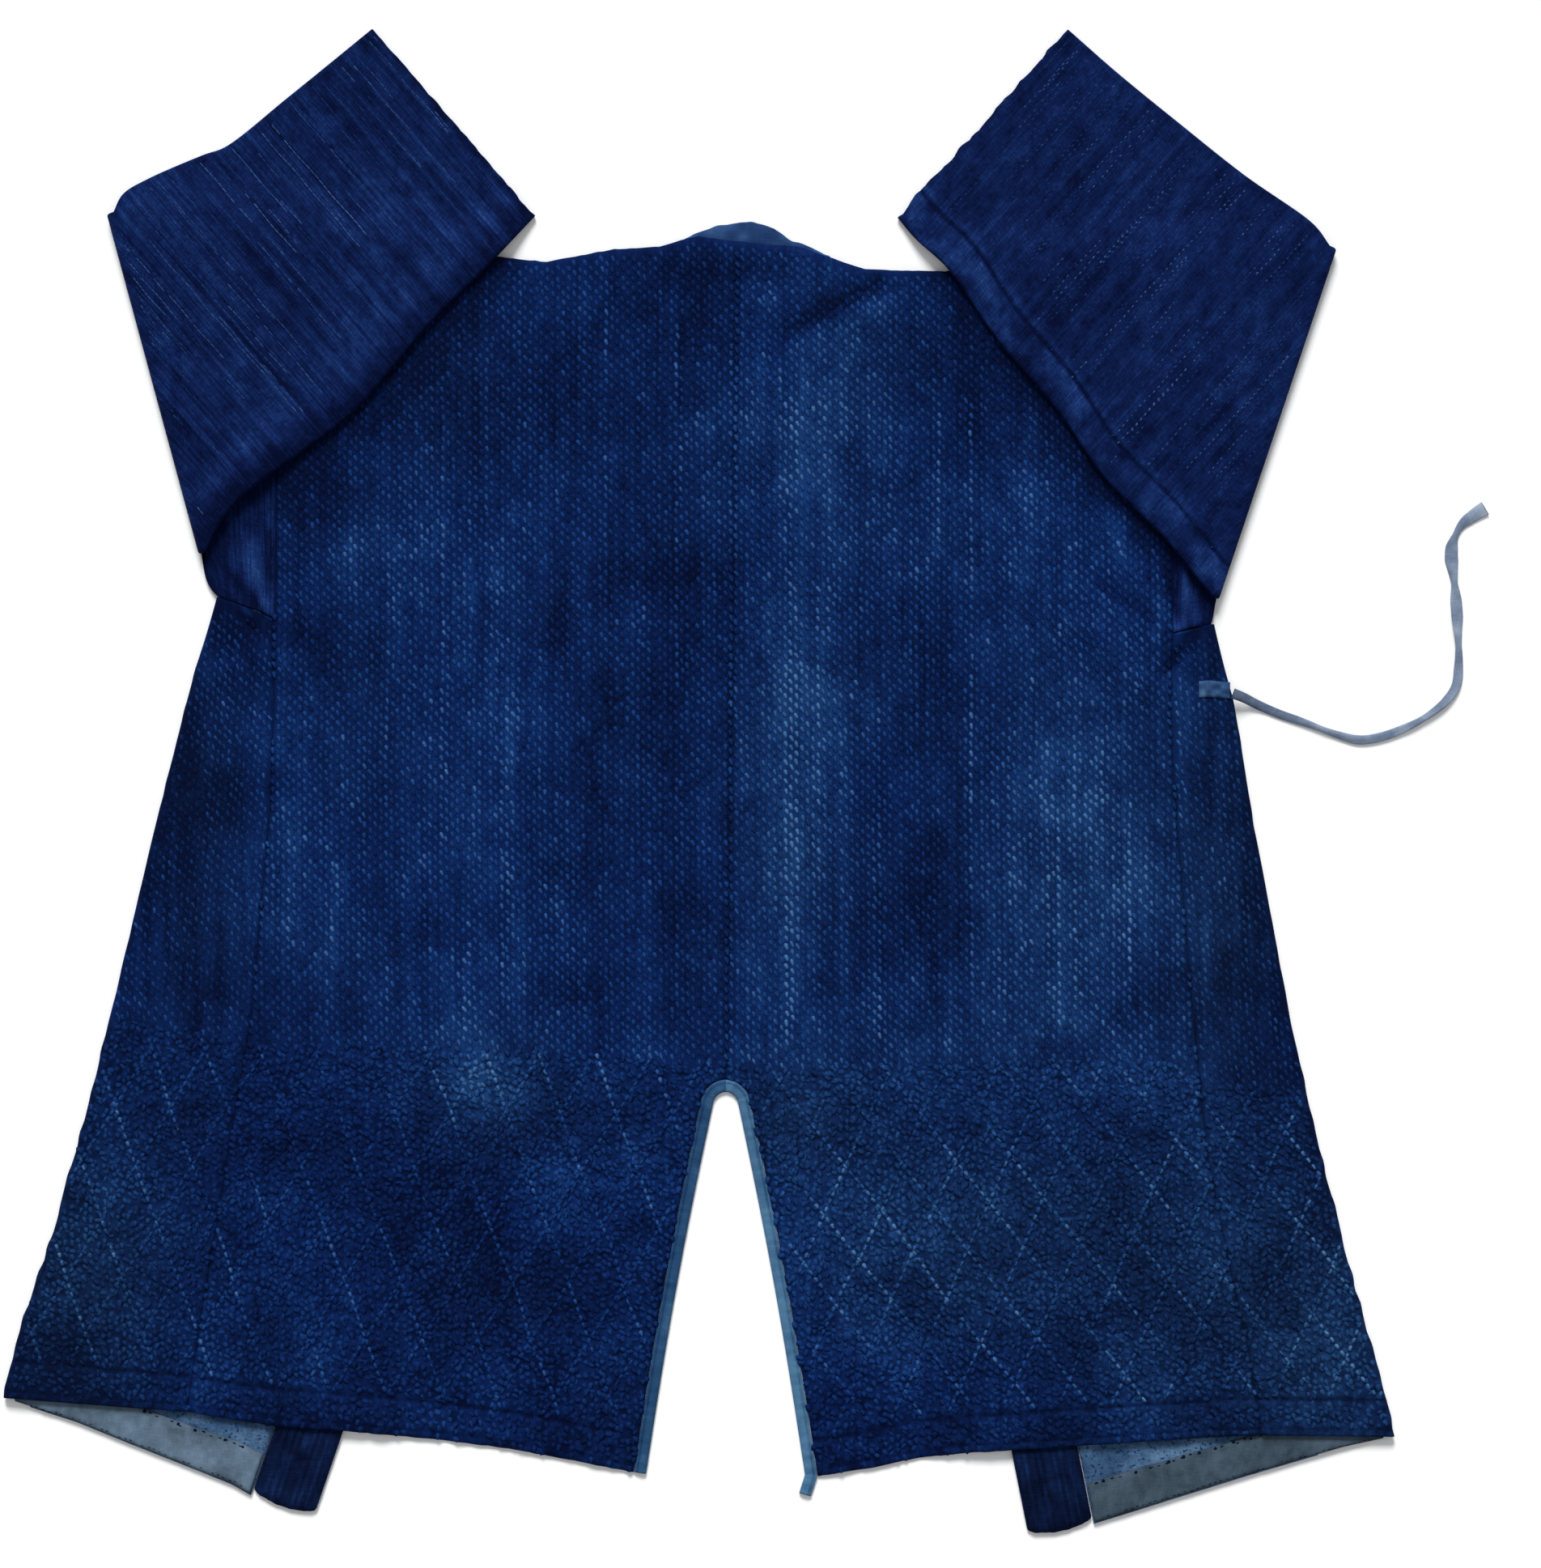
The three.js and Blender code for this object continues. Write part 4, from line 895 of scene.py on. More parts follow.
def back_half(side):
    """The (x, y) grid of half the back, from its side edge (column 0) to the middle.

    A row joins a side point to a middle point, and the bows of the top edge and of the hem are added
    to it, fading down from the top with power 1.5 and up from the hem with power 6. Both of these edges
    are slightly frayed. The second result is each point's distance from the nearest seam.
    """
    form = SIDES[side]
    inward = -form["sign"] * SEAM_LINE / 2
    high = np.linspace(0, 1, ABOVE_VENT + 1)
    coarse = (VENT_LENGTH - HEM_REACH) * (np.arange(1, VENT_ROWS + 1) / VENT_ROWS) ** 1.25
    below = np.concatenate([coarse, coarse[-1] + HEM_REACH * np.arange(1, HEM_ROWS + 1) / HEM_ROWS])
    low_courses = LOW_COURSES * (below / VENT_LENGTH) ** (1 / VENT_POWER)
    courses = np.concatenate([high * HIGH_COURSES, HIGH_COURSES + low_courses])
    down = courses / (HIGH_COURSES + LOW_COURSES)
    t = np.concatenate([
        VENT_SHARE * unit((high - ARMPIT_SHARE) / (1 - ARMPIT_SHARE)),
        mix(VENT_SHARE, 1, below / VENT_LENGTH),
    ])
    edge = side_point(side, "seam", t)
    edge[:, 0] += inward
    armhole = np.concatenate([high <= ARMPIT_SHARE, np.zeros(BELOW_VENT, bool)])
    edge[armhole, 0] = form["armhole"] + inward
    edge[armhole, 1] = mix(form["shoulder"], form["seam"][0], high[high <= ARMPIT_SHARE] / ARMPIT_SHARE)
    top, vent = np.array(NECK, float), np.array([VENT_X, VENT_TOP], float)
    middle = np.vstack([mix(top, vent, high[:, None]), vent_edge(form["sign"], below)])
    u = np.concatenate([[0, 0.0035, 0.008], np.linspace(0.015, 1, HALF_COLUMNS - 2)])
    grid = mix(edge[:, None], middle[:, None], u[None, :, None])
    top_x = mix(edge[0, 0], middle[0, 0], u)
    top_bow = look_up(TOP_EDGE, "x", top_x, "y") - mix(edge[0, 1], middle[0, 1], u)
    hem_x = mix(edge[-1, 0], middle[-1, 0], u)
    hem_bow = look_up(HEM_EDGE, "x", hem_x, "y") - mix(edge[-1, 1], middle[-1, 1], u)
    fade = unit(1 - 3 * down) ** 1.5
    grid[..., 1] += fade[:, None] * top_bow + (down**6)[:, None] * hem_bow
    frayed = unit(1 - 40 * down) - unit(1 - 40 * (1 - down))
    grid[..., 1] += frayed[:, None] * 0.5 * np.abs(soft_noise(grid[..., 0], 0 * grid[..., 0], 5, 41))
    reach = np.linalg.norm(middle - edge, axis=1)[:, None]
    from_vent = np.where(np.arange(len(reach)) > ABOVE_VENT, 1.0, 99.0)[:, None] * (1 - u) * reach
    return grid, np.minimum(u * reach, from_vent + 0.4)


def put_back():
    """The back: two half grids joined down the middle above the vent, softer towards every seam."""
    halves, from_seam = {}, {}
    for side in SIDES:
        halves[side], from_seam[side] = back_half(side)
    left = numbered(*halves["left"].shape[:2])
    right = left + left.size
    flat = np.vstack([halves["left"].reshape(-1, 2), halves["right"].reshape(-1, 2)])
    right[: ABOVE_VENT + 1, -1] = left[: ABOVE_VENT + 1, -1]
    quads = np.vstack([grid_quads(left), grid_quads(right[:, ::-1])])
    used, quads = np.unique(quads, return_inverse=True)
    quads = quads.reshape(-1, 4)
    x, y = flat[used].T
    seam_distance = np.concatenate([from_seam["left"].ravel(), from_seam["right"].ravel()])[used]
    under = body_under(x, y)
    edge = edge_thin(x, y)
    seam_drop = SEAM_SOFT * (1 - ease(seam_distance / SEAM_SOFT_WIDTH))
    level = back_lift(x, y) + body_folds(x, y) + BODY_CLOTH * edge
    level = level + np.maximum(surface_relief(x, y) * edge - seam_drop, -1)
    top = np.column_stack([x, y, np.maximum(level, under + CLOTH_LEAST)])
    low = np.column_stack([x, y, under + 0.25 * (1 - edge)])
    back = put_wall(
        "back_cloth", top, low, quads, body_finishes, "indigo_sashiko", ground(x, y) - 0.07 * seam_drop,
        crumpled=crepe_share(x, y) > 0.5,
    )
    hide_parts("back")
    outline = np.vstack([
        halves["left"][:, 0], halves["left"][-1], halves["left"][::-1, -1][: BELOW_VENT + 1],
        halves["right"][ABOVE_VENT:, -1], halves["right"][-1, ::-1], halves["right"][::-1, 0],
        halves["right"][0], halves["left"][0, ::-1],
    ])
    return back, outline


def edge_thin(x, y):
    """1 inside the back, easing to TURNED_THIN at its hem and top edge, where the cloth is turned."""
    return mix(TURNED_THIN, 1, ease(np.minimum(from_hem(x, y), from_top(x, y)) / TURNED_WIDTH))


GORE_SHARES = np.concatenate([[0, 0.012, 0.03], np.linspace(0.06, 1, 24)])
GORE_COURSES = np.concatenate([
    np.linspace(0, 0.12, 42)[:-1], np.linspace(0.12, 0.94, 118)[:-1], np.linspace(0.94, 1, 26),
])
GORE_BEND, GORE_HALF = OVER_FRONTS / 2, BODY_CLOTH / 2


def sleeve_edge_y(side, x):
    """The y of the lying sleeve's lower edge next to a gore."""
    form, body = SLEEVES[side], SIDES[side]
    start = (body["armhole"] + body["sign"] * SEAM_LINE / 2, body["seam"][0] + 2 * SEAM_LINE)
    edge = np.array([start, *form["armpit"][:2]])
    order = np.argsort(edge[:, 0])
    return np.interp(x, edge[order, 0], edge[order, 1])


def gore_tone(reach, crest):
    """A gore is a little lighter by its seam and darker by the outline."""
    return 0.07 * bell(reach - 9, 9) - 0.05 - 0.08 * ease((reach - crest + 26) / 26)


def put_gore(side):
    """A gore: flat from the back seam, a half-round bend at the outline, and a strip that lies under.

    Its section runs along `a`, away from the seam, and z, and (out_a, out_z) is its outward direction.
    Its two faces are half the cloth's thickness out from that section, and folds and relief lift what
    is on top. By the armpit its first rows are drawn up to the sleeve's edge.
    """
    bend_columns, under_columns = 9, 5
    t = GORE_COURSES
    seam, across, width, under = gore_course(side, t)
    crest = width - GORE_BEND - GORE_HALF
    length = np.linalg.norm(seam[-1] - seam[0])
    above_hem = ((1 - t) * length)[:, None]
    seam_top = back_lift(*seam.T) + GORE_HALF
    crest_top = OVER_FRONTS + GORE_HALF
    lumpy = (0.25 + 0.45 * ease((t - 0.5) / 0.1)) * soft_noise(t * length, 0 * t, 9, 43)
    share = GORE_SHARES[None, :-1]
    turn = np.pi * (0.5 - np.linspace(0, 1, bend_columns))[None]
    back_share = np.linspace(0, 1, under_columns + 1)[None, 1:]
    flat_a = mix(SEAM_LINE / 2, crest[:, None], share)
    flat_z = mix(seam_top[:, None], crest_top, ease(share * 2))
    bend_a = crest[:, None] + (GORE_BEND + lumpy[:, None]) * np.cos(turn)
    bend_z = np.broadcast_to(crest_top - GORE_BEND + GORE_BEND * np.sin(turn), bend_a.shape)
    under_a = mix(crest[:, None], (width - under)[:, None], back_share)
    under_z = np.full(under_a.shape, GORE_HALF)
    a = np.hstack([flat_a, bend_a, under_a])
    z = np.hstack([flat_z, bend_z, under_z])
    cosine, sine = (np.broadcast_to(v, bend_a.shape) for v in (np.cos(turn), np.sin(turn)))
    level_out, level_in = np.ones_like(flat_a), np.ones_like(under_a)
    out_a = np.hstack([0 * level_out, cosine, 0 * level_in])
    out_z = np.hstack([level_out, sine, -level_in])
    lifted = np.hstack([level_out, ease(0.5 + 0.5 * sine) ** 2, 0 * level_in])
    seam_drop = SEAM_SOFT * (1 - ease(a / SEAM_SOFT_WIDTH)) * lifted

    def face(offset, rough):
        reach = a + out_a * offset
        place = seam[:, None] + across[:, None] * reach[..., None]
        x, y = place[..., 0], place[..., 1]
        close = np.clip(sleeve_edge_y(side, x[0]) - SEAM_LINE - y[0], 0, 4)
        y = y + unit(1 - t / 0.05)[:, None] ** 2 * close
        relief = surface_relief(x, y, above_hem) * (1 - 0.7 * ease((t - 0.995) / 0.005))[:, None]
        lift = lifted * body_folds(x, y) + rough * (lifted * relief - seam_drop)
        lift = np.maximum(lift, mix(UNDER_LOWEST, -1.2, rough))
        return np.dstack([x, y, z + out_z * offset + lift])

    top, low = face(GORE_HALF, 1), face(-GORE_HALF, 0)
    marks = ground(top[..., 0], top[..., 1]) + gore_tone(a, crest[:, None]) - 0.07 * seam_drop
    gore = put_grid(
        f"gore_{side}_cloth", top, low, body_finishes, "indigo_sashiko", marks,
        crumpled=crepe_share(top[..., 0], top[..., 1]) > 0.5,
    )
    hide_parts(f"gore_{side}")
    return gore, top


def put_front(side):
    """A front: rows from its outer edge (armhole, then gore) to its band, flat on the surface.

    The bows of its top edge and of its hem are added, fading from them with powers 8 and 10.
    """
    form = SIDES[side]
    sign, steps = form["sign"], ARMHOLE_ROWS + COURSE_ROWS
    row = np.linspace(0, steps, 139)
    t = unit((row - ARMHOLE_ROWS) / COURSE_ROWS)
    seam, across, width, under = gore_course(side, t)
    outside = seam + across * (width - under - SEAM_GAP)[:, None]
    high = row <= ARMHOLE_ROWS
    outside[high, 0] = form["armhole"] - sign * SEAM_GAP / 2
    outside[high, 1] = mix(form["shoulder"], form["seam"][0], row[high] / ARMHOLE_ROWS)
    hem = FRONT_HEMS[side]
    nape_x = (NAPE["x"][0] if sign < 0 else NAPE["x"][-1]) + sign
    top_y = look_up(TOP_EDGE, "x", nape_x, "y")
    past_band = band_edge(side, top_y, sign) + sign * (SEAM_GAP + 1)
    neck_x = sign * max(sign * nape_x, sign * past_band)
    inside_y = mix(top_y, hem["y"][-1], row / steps)
    inside_edge = np.column_stack([band_edge(side, inside_y, sign) + sign * SEAM_GAP, inside_y])
    inside_edge[0, 0] = neck_x
    u = np.linspace(0, 1, 44)
    grid = mix(outside[:, None], inside_edge[:, None], u[None, :, None])
    top_bow = look_up(TOP_EDGE, "x", grid[0, :, 0], "y") - grid[0, :, 1]
    hem_bow = look_up(hem, "x", grid[-1, :, 0], "y") - grid[-1, :, 1]
    down = (row / steps)[:, None]
    grid[..., 1] += (1 - down) ** 8 * top_bow + down**10 * hem_bow
    x, y = grid[..., 0], grid[..., 1]
    top, low = between(x, y, BODY_CLOTH + 0.12 * soft_noise(x, y, 8, 51), 0)
    cloud = 0.32 * soft_noise(x, y, 14, 52) + 0.24 * soft_noise(x, y * 3, 30, 53)
    marks = FADED[side]["front"] + cloud
    front = put_grid(f"front_{side}_cloth", top, low, [inside_cloth, indigo], "inside_cloth", marks)
    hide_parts(f"front_{side}")
    return front


# Stitch rows of the hem facings: grid column, pitch, length and width
FACING_ROWS = [(-2, 5.2, 3.0, 1.3), (-2, 11.0, 2.8, 2.6), (1, 4.0, 2.6, 0.7)]


def put_facing(side):
    """The tape along a front's hem: from the hem inwards, thin, with a dark rim and a wavy free edge.

    Its inner end lies along the collar band: a point moves sideways as it goes in by a lean that turns
    from the tape's own slant at the fold to the slope of the band's edge.
    """
    hem, sign = FRONT_HEMS[side], SIDES[side]["sign"]
    (top_x, top_y), (end_x, end_y) = BANDS[side]["top"], BANDS[side]["end"]
    fold_x = hem["x"][0] - sign * 7
    band_x = band_edge(side, hem["y"][-1], sign) + sign * 1.2
    share, depth_share = np.linspace(0, 1, 90)[:, None], np.linspace(0, 1, 16)[None]
    lean = mix(sign * FACING_SLANT, (end_x - top_x) / (end_y - top_y), share)
    x = mix(fold_x, band_x, share)
    depth = FACING_DEPTH * ease(0.25 + share * 2)
    y = look_up(hem, "x", x[:, 0], "y")[:, None] + 0.8 + depth * depth_share
    x = x + lean * depth * depth_share
    wavy = y + 0.7 * depth_share * soft_noise(x, y, 12, 61)
    foot = BODY_CLOTH + SEAM_GAP
    edge = np.where((depth_share == 0) | (depth_share == 1), 0.7, 1)
    top, low = between(x, wavy, foot + TAPE_CLOTH * edge + 0.14 * soft_noise(x, y, 5, 62), foot)
    rim = 0.34 * (0.7 + 0.5 * soft_noise(x, 0 * y, 7, 67)) * bell(depth_share * depth, 1.6)
    free = 0.22 * bell((1 - depth_share) * depth, 1.4)
    cloud = 0.20 * soft_noise(x, y, 16, 63) + 0.13 * soft_noise(x, y, 4, 64)
    marks = FADED[side]["facing"] + cloud - rim - free
    facing = put_grid(f"hem_facing_{side}_tape", top, low, [facing_grey], "hem_facing", marks)
    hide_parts(f"hem_facing_{side}")
    sets = []
    rng = np.random.default_rng(65)
    for row, pitch, length, thick in FACING_ROWS:
        line = top[2:-2, row]
        level = line[:, 2].mean()
        tail, head = dashes(line[:, :2], pitch, length, lambda x, y: np.full(len(x), level), 66)
        keep = rng.uniform(size=len(tail)) < 0.8
        sets.append((tail[keep], head[keep], thick, 0.3, 0.12))
    stitches = put_stitch_sets(f"hem_facing_{side}_stitches", sets, dark_thread, "indigo_band")
    return facing, stitches


def put_band(side):
    """A collar band: rows of corded cloth, soft long edges and a free end that bows outward.

    Across it the cloth is BAND_THICK high with cords, cosine waves 4.6 mm apart, that fade at its edges
    and by its end. Rounded corners draw the end in, and one soft fold crosses it 34 mm before the end.
    """
    corner, soft = 4, 1.1
    start = np.array(BANDS[side]["top"], float)
    along = np.array(BANDS[side]["end"]) - start
    length = np.linalg.norm(along)
    along /= length
    plain, near_end = np.linspace(0, length - 70, 60)[:-1], np.linspace(length - 70, length, 60)
    s = np.concatenate([plain, near_end])[:, None]
    w_share = np.sin(np.linspace(-np.pi / 2, np.pi / 2, 34))[None]
    beyond = s - length
    into = unit((beyond + corner) / corner)
    w = w_share * (BAND_WIDTH / 2 - corner * (1 - np.sqrt(1 - into**2)) * 0.8)
    reach = s - 2.6 * w_share**2 * ease((beyond + 20) / 20) + 0.4 * into * soft_noise(w, w, 4, 73)
    x = start[0] + along[0] * reach - along[1] * w
    y = start[1] + along[1] * reach + along[0] * w
    from_middle = np.abs(w_share)
    round_over = soft * (ease((from_middle - 0.86) / 0.14) + ease((into - 0.5) / 0.5))
    cords = 0.25 * np.cos(w * 2 * np.pi / 4.6) * ease((0.84 - from_middle) / 0.1) * ease(-beyond / 6)
    cords = cords * (0.7 + 0.5 * soft_noise(s, w, 22, 74))
    slant = 0.16 * w * SIDES[side]["sign"]
    fold = bell(beyond + 34 + slant, 2.6) * ease((14 - np.abs(w + 2)) / 6)
    thick = BAND_THICK - np.minimum(round_over, 1.6) + cords + 0.2 * soft_noise(x, y, 6, 71) - 0.7 * fold
    top, low = between(x, y, thick, 0)
    patchy = 0.24 * soft_noise(s / 2.2, w, 6, 72) + 0.17 * soft_noise(s / 3, w, 2.6, 75)
    rim = 0.24 * ease((beyond + 9) / 9) + 0.14 * ease((from_middle - 0.8) / 0.2)
    marks = FADED[side]["band"] + 1.2 * cords + patchy - rim - 0.25 * fold
    band = put_grid(f"collar_band_{side}_cloth", top, low, [band_indigo], "indigo_band", marks)
    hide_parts(f"collar_band_{side}")
    return band


def put_nape():
    """The collar's lens at the nape: rows from its foot under the back to its soft, thinner outer fold."""
    line = along_line(np.column_stack([NAPE["x"], NAPE["y"]]), np.linspace(0, 1, 70))
    x, rim = line.T
    share = np.linspace(0, 1, 16)[None]
    grid_x = np.broadcast_to(x[:, None], (70, 16))
    y = mix(NAPE_FOOT, rim[:, None] + 0.5 * soft_noise(x, x, 6, 81)[:, None], share)
    thick = BAND_THICK - 1.1 * ease((share - 0.8) / 0.2) + 0.2 * soft_noise(grid_x, y, 6, 82)
    top, low = between(grid_x, y, thick, 0)
    marks = 0.5 + 0.3 * soft_noise(grid_x, y, 7, 83)
    nape = put_grid("nape_cloth", top, low, [nape_blue], "nape_cloth", marks)
    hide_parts("collar_nape")
    return nape


def vent_line(steps=120):
    """The vent's cloth edge from the left hem round the arch to the right hem, and the loose tail."""
    below = VENT_LENGTH * np.linspace(1, 0, steps) ** VENT_POWER
    edge = np.vstack([vent_edge(-1, below[:-1]), vent_edge(1, below[::-1])])
    return np.vstack([edge, edge[-1] + np.array(BINDING_TAIL)])


def put_binding():
    """The tape round the vent: rows across it, from the cloth's edge into the slit.

    It is BINDING_THICK high, less 0.9 mm eased off at both edges, with a groove at a quarter of its width
    and fine creases across it.
    """
    spread = along_line(vent_line(), np.linspace(0, 1, 420))
    ahead = np.gradient(spread, axis=0)
    ahead /= np.linalg.norm(ahead, axis=1)[:, None]
    inward = np.column_stack([ahead[:, 1], -ahead[:, 0]])
    share = np.linspace(0, 1, 9)[None]
    across = mix(SEAM_GAP, BINDING_WIDTH, share)
    place = spread[:, None] + inward[:, None] * across[..., None]
    x, y = place[..., 0], place[..., 1]
    profile = BINDING_THICK - 0.9 * (ease((share - 0.8) / 0.2) + ease((0.2 - share) / 0.2))
    groove = 0.3 * bell(share - 0.25, 0.1)
    station = np.arange(len(spread))[:, None] * 1.33
    creased = soft_noise(station, across * 0.15, 2.6, 93)
    lumpy = 0.12 * soft_noise(x, y, 4, 91) + 0.16 * creased * ease(share * 4)
    top, low = between(x, y, profile - groove + lumpy, 0)
    tone = np.where(x < VENT_X, 0.47, 0.90) + 0.12 * creased + 0.12 * soft_noise(x, y, 9, 92)
    marks = tone - 1.1 * groove
    binding = put_grid("vent_tape", top, low, [tape_teal], "vent_tape", marks)
    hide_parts("vent_binding")
    return binding


def put_tab():
    """The tie's tab: a short folded tape, TAB_THICK high and thinner at its edges, with a slight bow."""
    u, v = np.linspace(0, 1, 26)[:, None], np.linspace(0, 1, 14)[None]
    x = mix(TAB_LOW[0], TAB_HIGH[0], u) + 0 * v
    y = mix(TAB_LOW[1], TAB_HIGH[1], v) + 0.5 * np.sin(u * 5)
    soft = ease(np.minimum(u, 1 - u) / 0.08) * ease(np.minimum(v, 1 - v) / 0.12)
    thick = TAB_THICK * mix(0.45, 1, soft) + 0.12 * soft_noise(x, y, 3, 95)
    top, low = between(x, y, TAB_FOOT + thick, TAB_FOOT)
    marks = 0.36 + 0.34 * ease((0.5 - u) / 0.4) + 0.38 * soft_noise(x, y, 3.2, 96)
    flat = np.column_stack([x.ravel(), y.ravel()])
    tab = put_grid("tie_tab_tape", top, low, [tab_blue], "tie_cloth", marks, flat)
    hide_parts("tie_tab")
    return tab


# Sleeves

# Stations of a sleeve that lie under it, that turn over and that are folded, and columns of a face
LYING_STATIONS, FOLD_STATIONS, FOLDED_STATIONS, SLEEVE_COLUMNS = 30, 15, 128, 66
TURNED_OVER = LYING_STATIONS + FOLD_STATIONS

# A strip by the underarm edge that has columns of its own, and the felled seam's groove and ridge in it
NEAR_SEAM, NEAR_COLUMNS = 27, 20
FELLED_ROW, FELLED_RIDGE = 22.6, 26

# A sleeve's broad and narrow streaks and their seed, and how ragged its cuff is and that seed
STREAKS = {"left": (0.10, 0.13, 111), "right": (0.06, 0.07, 121)}
RAGGED = {"left": (0.4, 131), "right": (0.7, 132)}


def sleeve_lift(side, x, y):
    """The height of what a folded sleeve lies on: the back, or the surface past the shoulder line."""
    (x1, y1), (x2, y2) = SLEEVES[side]["line"]
    dx, dy = x2 - x1, y2 - y1
    outside = ((x - x1) * -dy + (y - y1) * dx) / math.hypot(dx, dy)
    return OVER_BACK * (1 - ease(outside / SLEEVE_DROP))


def sleeve_stations(side):
    """Each station's underarm and shoulder points and its turn, from -90 degrees (lying) to 90 (folded).

    The other results say which stations lie or turn, and the direction square to the fold.
    """
    form, body = SLEEVES[side], SIDES[side]
    sign = body["sign"]
    low, high = curve_through(form["underarm"]), curve_through(form["shoulder"])
    fold_line = high[0] - low[0]
    fold_line /= np.linalg.norm(fold_line)
    outward = np.array([-fold_line[1], fold_line[0]]) * -sign
    to_axis = -outward * (SLEEVE_BEND + SLEEVE_HALF)
    low_axis, high_axis = low[0] + to_axis, high[0] + to_axis
    edge_x = body["armhole"] + sign * SEAM_LINE / 2
    lying_low = curve_through([(edge_x, body["seam"][0] + 2 * SEAM_LINE), *form["armpit"], low_axis])
    lying_high = curve_through([(edge_x, body["shoulder"]), high_axis])
    lying = np.linspace(0, 1, LYING_STATIONS, endpoint=False)
    folded = np.linspace(0, 1, FOLDED_STATIONS + 1)[1:]
    settle = to_axis * ((1 - folded) ** 4)[:, None]
    ones = np.ones((FOLD_STATIONS, 1))
    lows = np.vstack([along_line(lying_low, lying), ones * low_axis, along_line(low, folded) + settle])
    highs = np.vstack([along_line(lying_high, lying), ones * high_axis, along_line(high, folded) + settle])
    turn = np.concatenate([
        np.full(LYING_STATIONS, -np.pi / 2), np.linspace(-np.pi / 2, np.pi / 2, FOLD_STATIONS),
        np.full(FOLDED_STATIONS, np.pi / 2),
    ])
    lying_down = np.arange(len(turn)) < TURNED_OVER
    return lows, highs, turn, lying_down, outward


SLEEVE_CREASES = {
    "left": table("x1 y1 x2 y2 width height", [
        (-318, 160, -285, 215, 9, 1.5), (-300, 176, -250, 246, 10, 1.2), (-240, 226, -205, 262, 8, 0.9),
        (-330, 190, -352, 250, 12, 1.0), (-372, 350, -300, 330, 14, 0.9), (-215, 246, -150, 320, 5, 0.8),
        (-310, 250, -250, 320, 18, 0.6),
    ]),
    "right": table("x1 y1 x2 y2 width height", [
        (326, 132, 300, 168, 6, 1.6), (312, 158, 296, 176, 5, 1.3), (298, 176, 276, 190, 5, 1.5),
        (322, 168, 306, 186, 4, -1.2), (300, 196, 288, 204, 4, -1.2), (336, 150, 344, 210, 10, 1.1),
        (330, 150, 322, 176, 4, 1.2), (264, 206, 250, 224, 5, 1.0), (243, 232, 230, 252, 5, 0.9),
        (222, 260, 208, 276, 5, 0.9), (390, 350, 330, 330, 14, 0.8), (300, 250, 250, 320, 18, 0.6),
    ]),
}


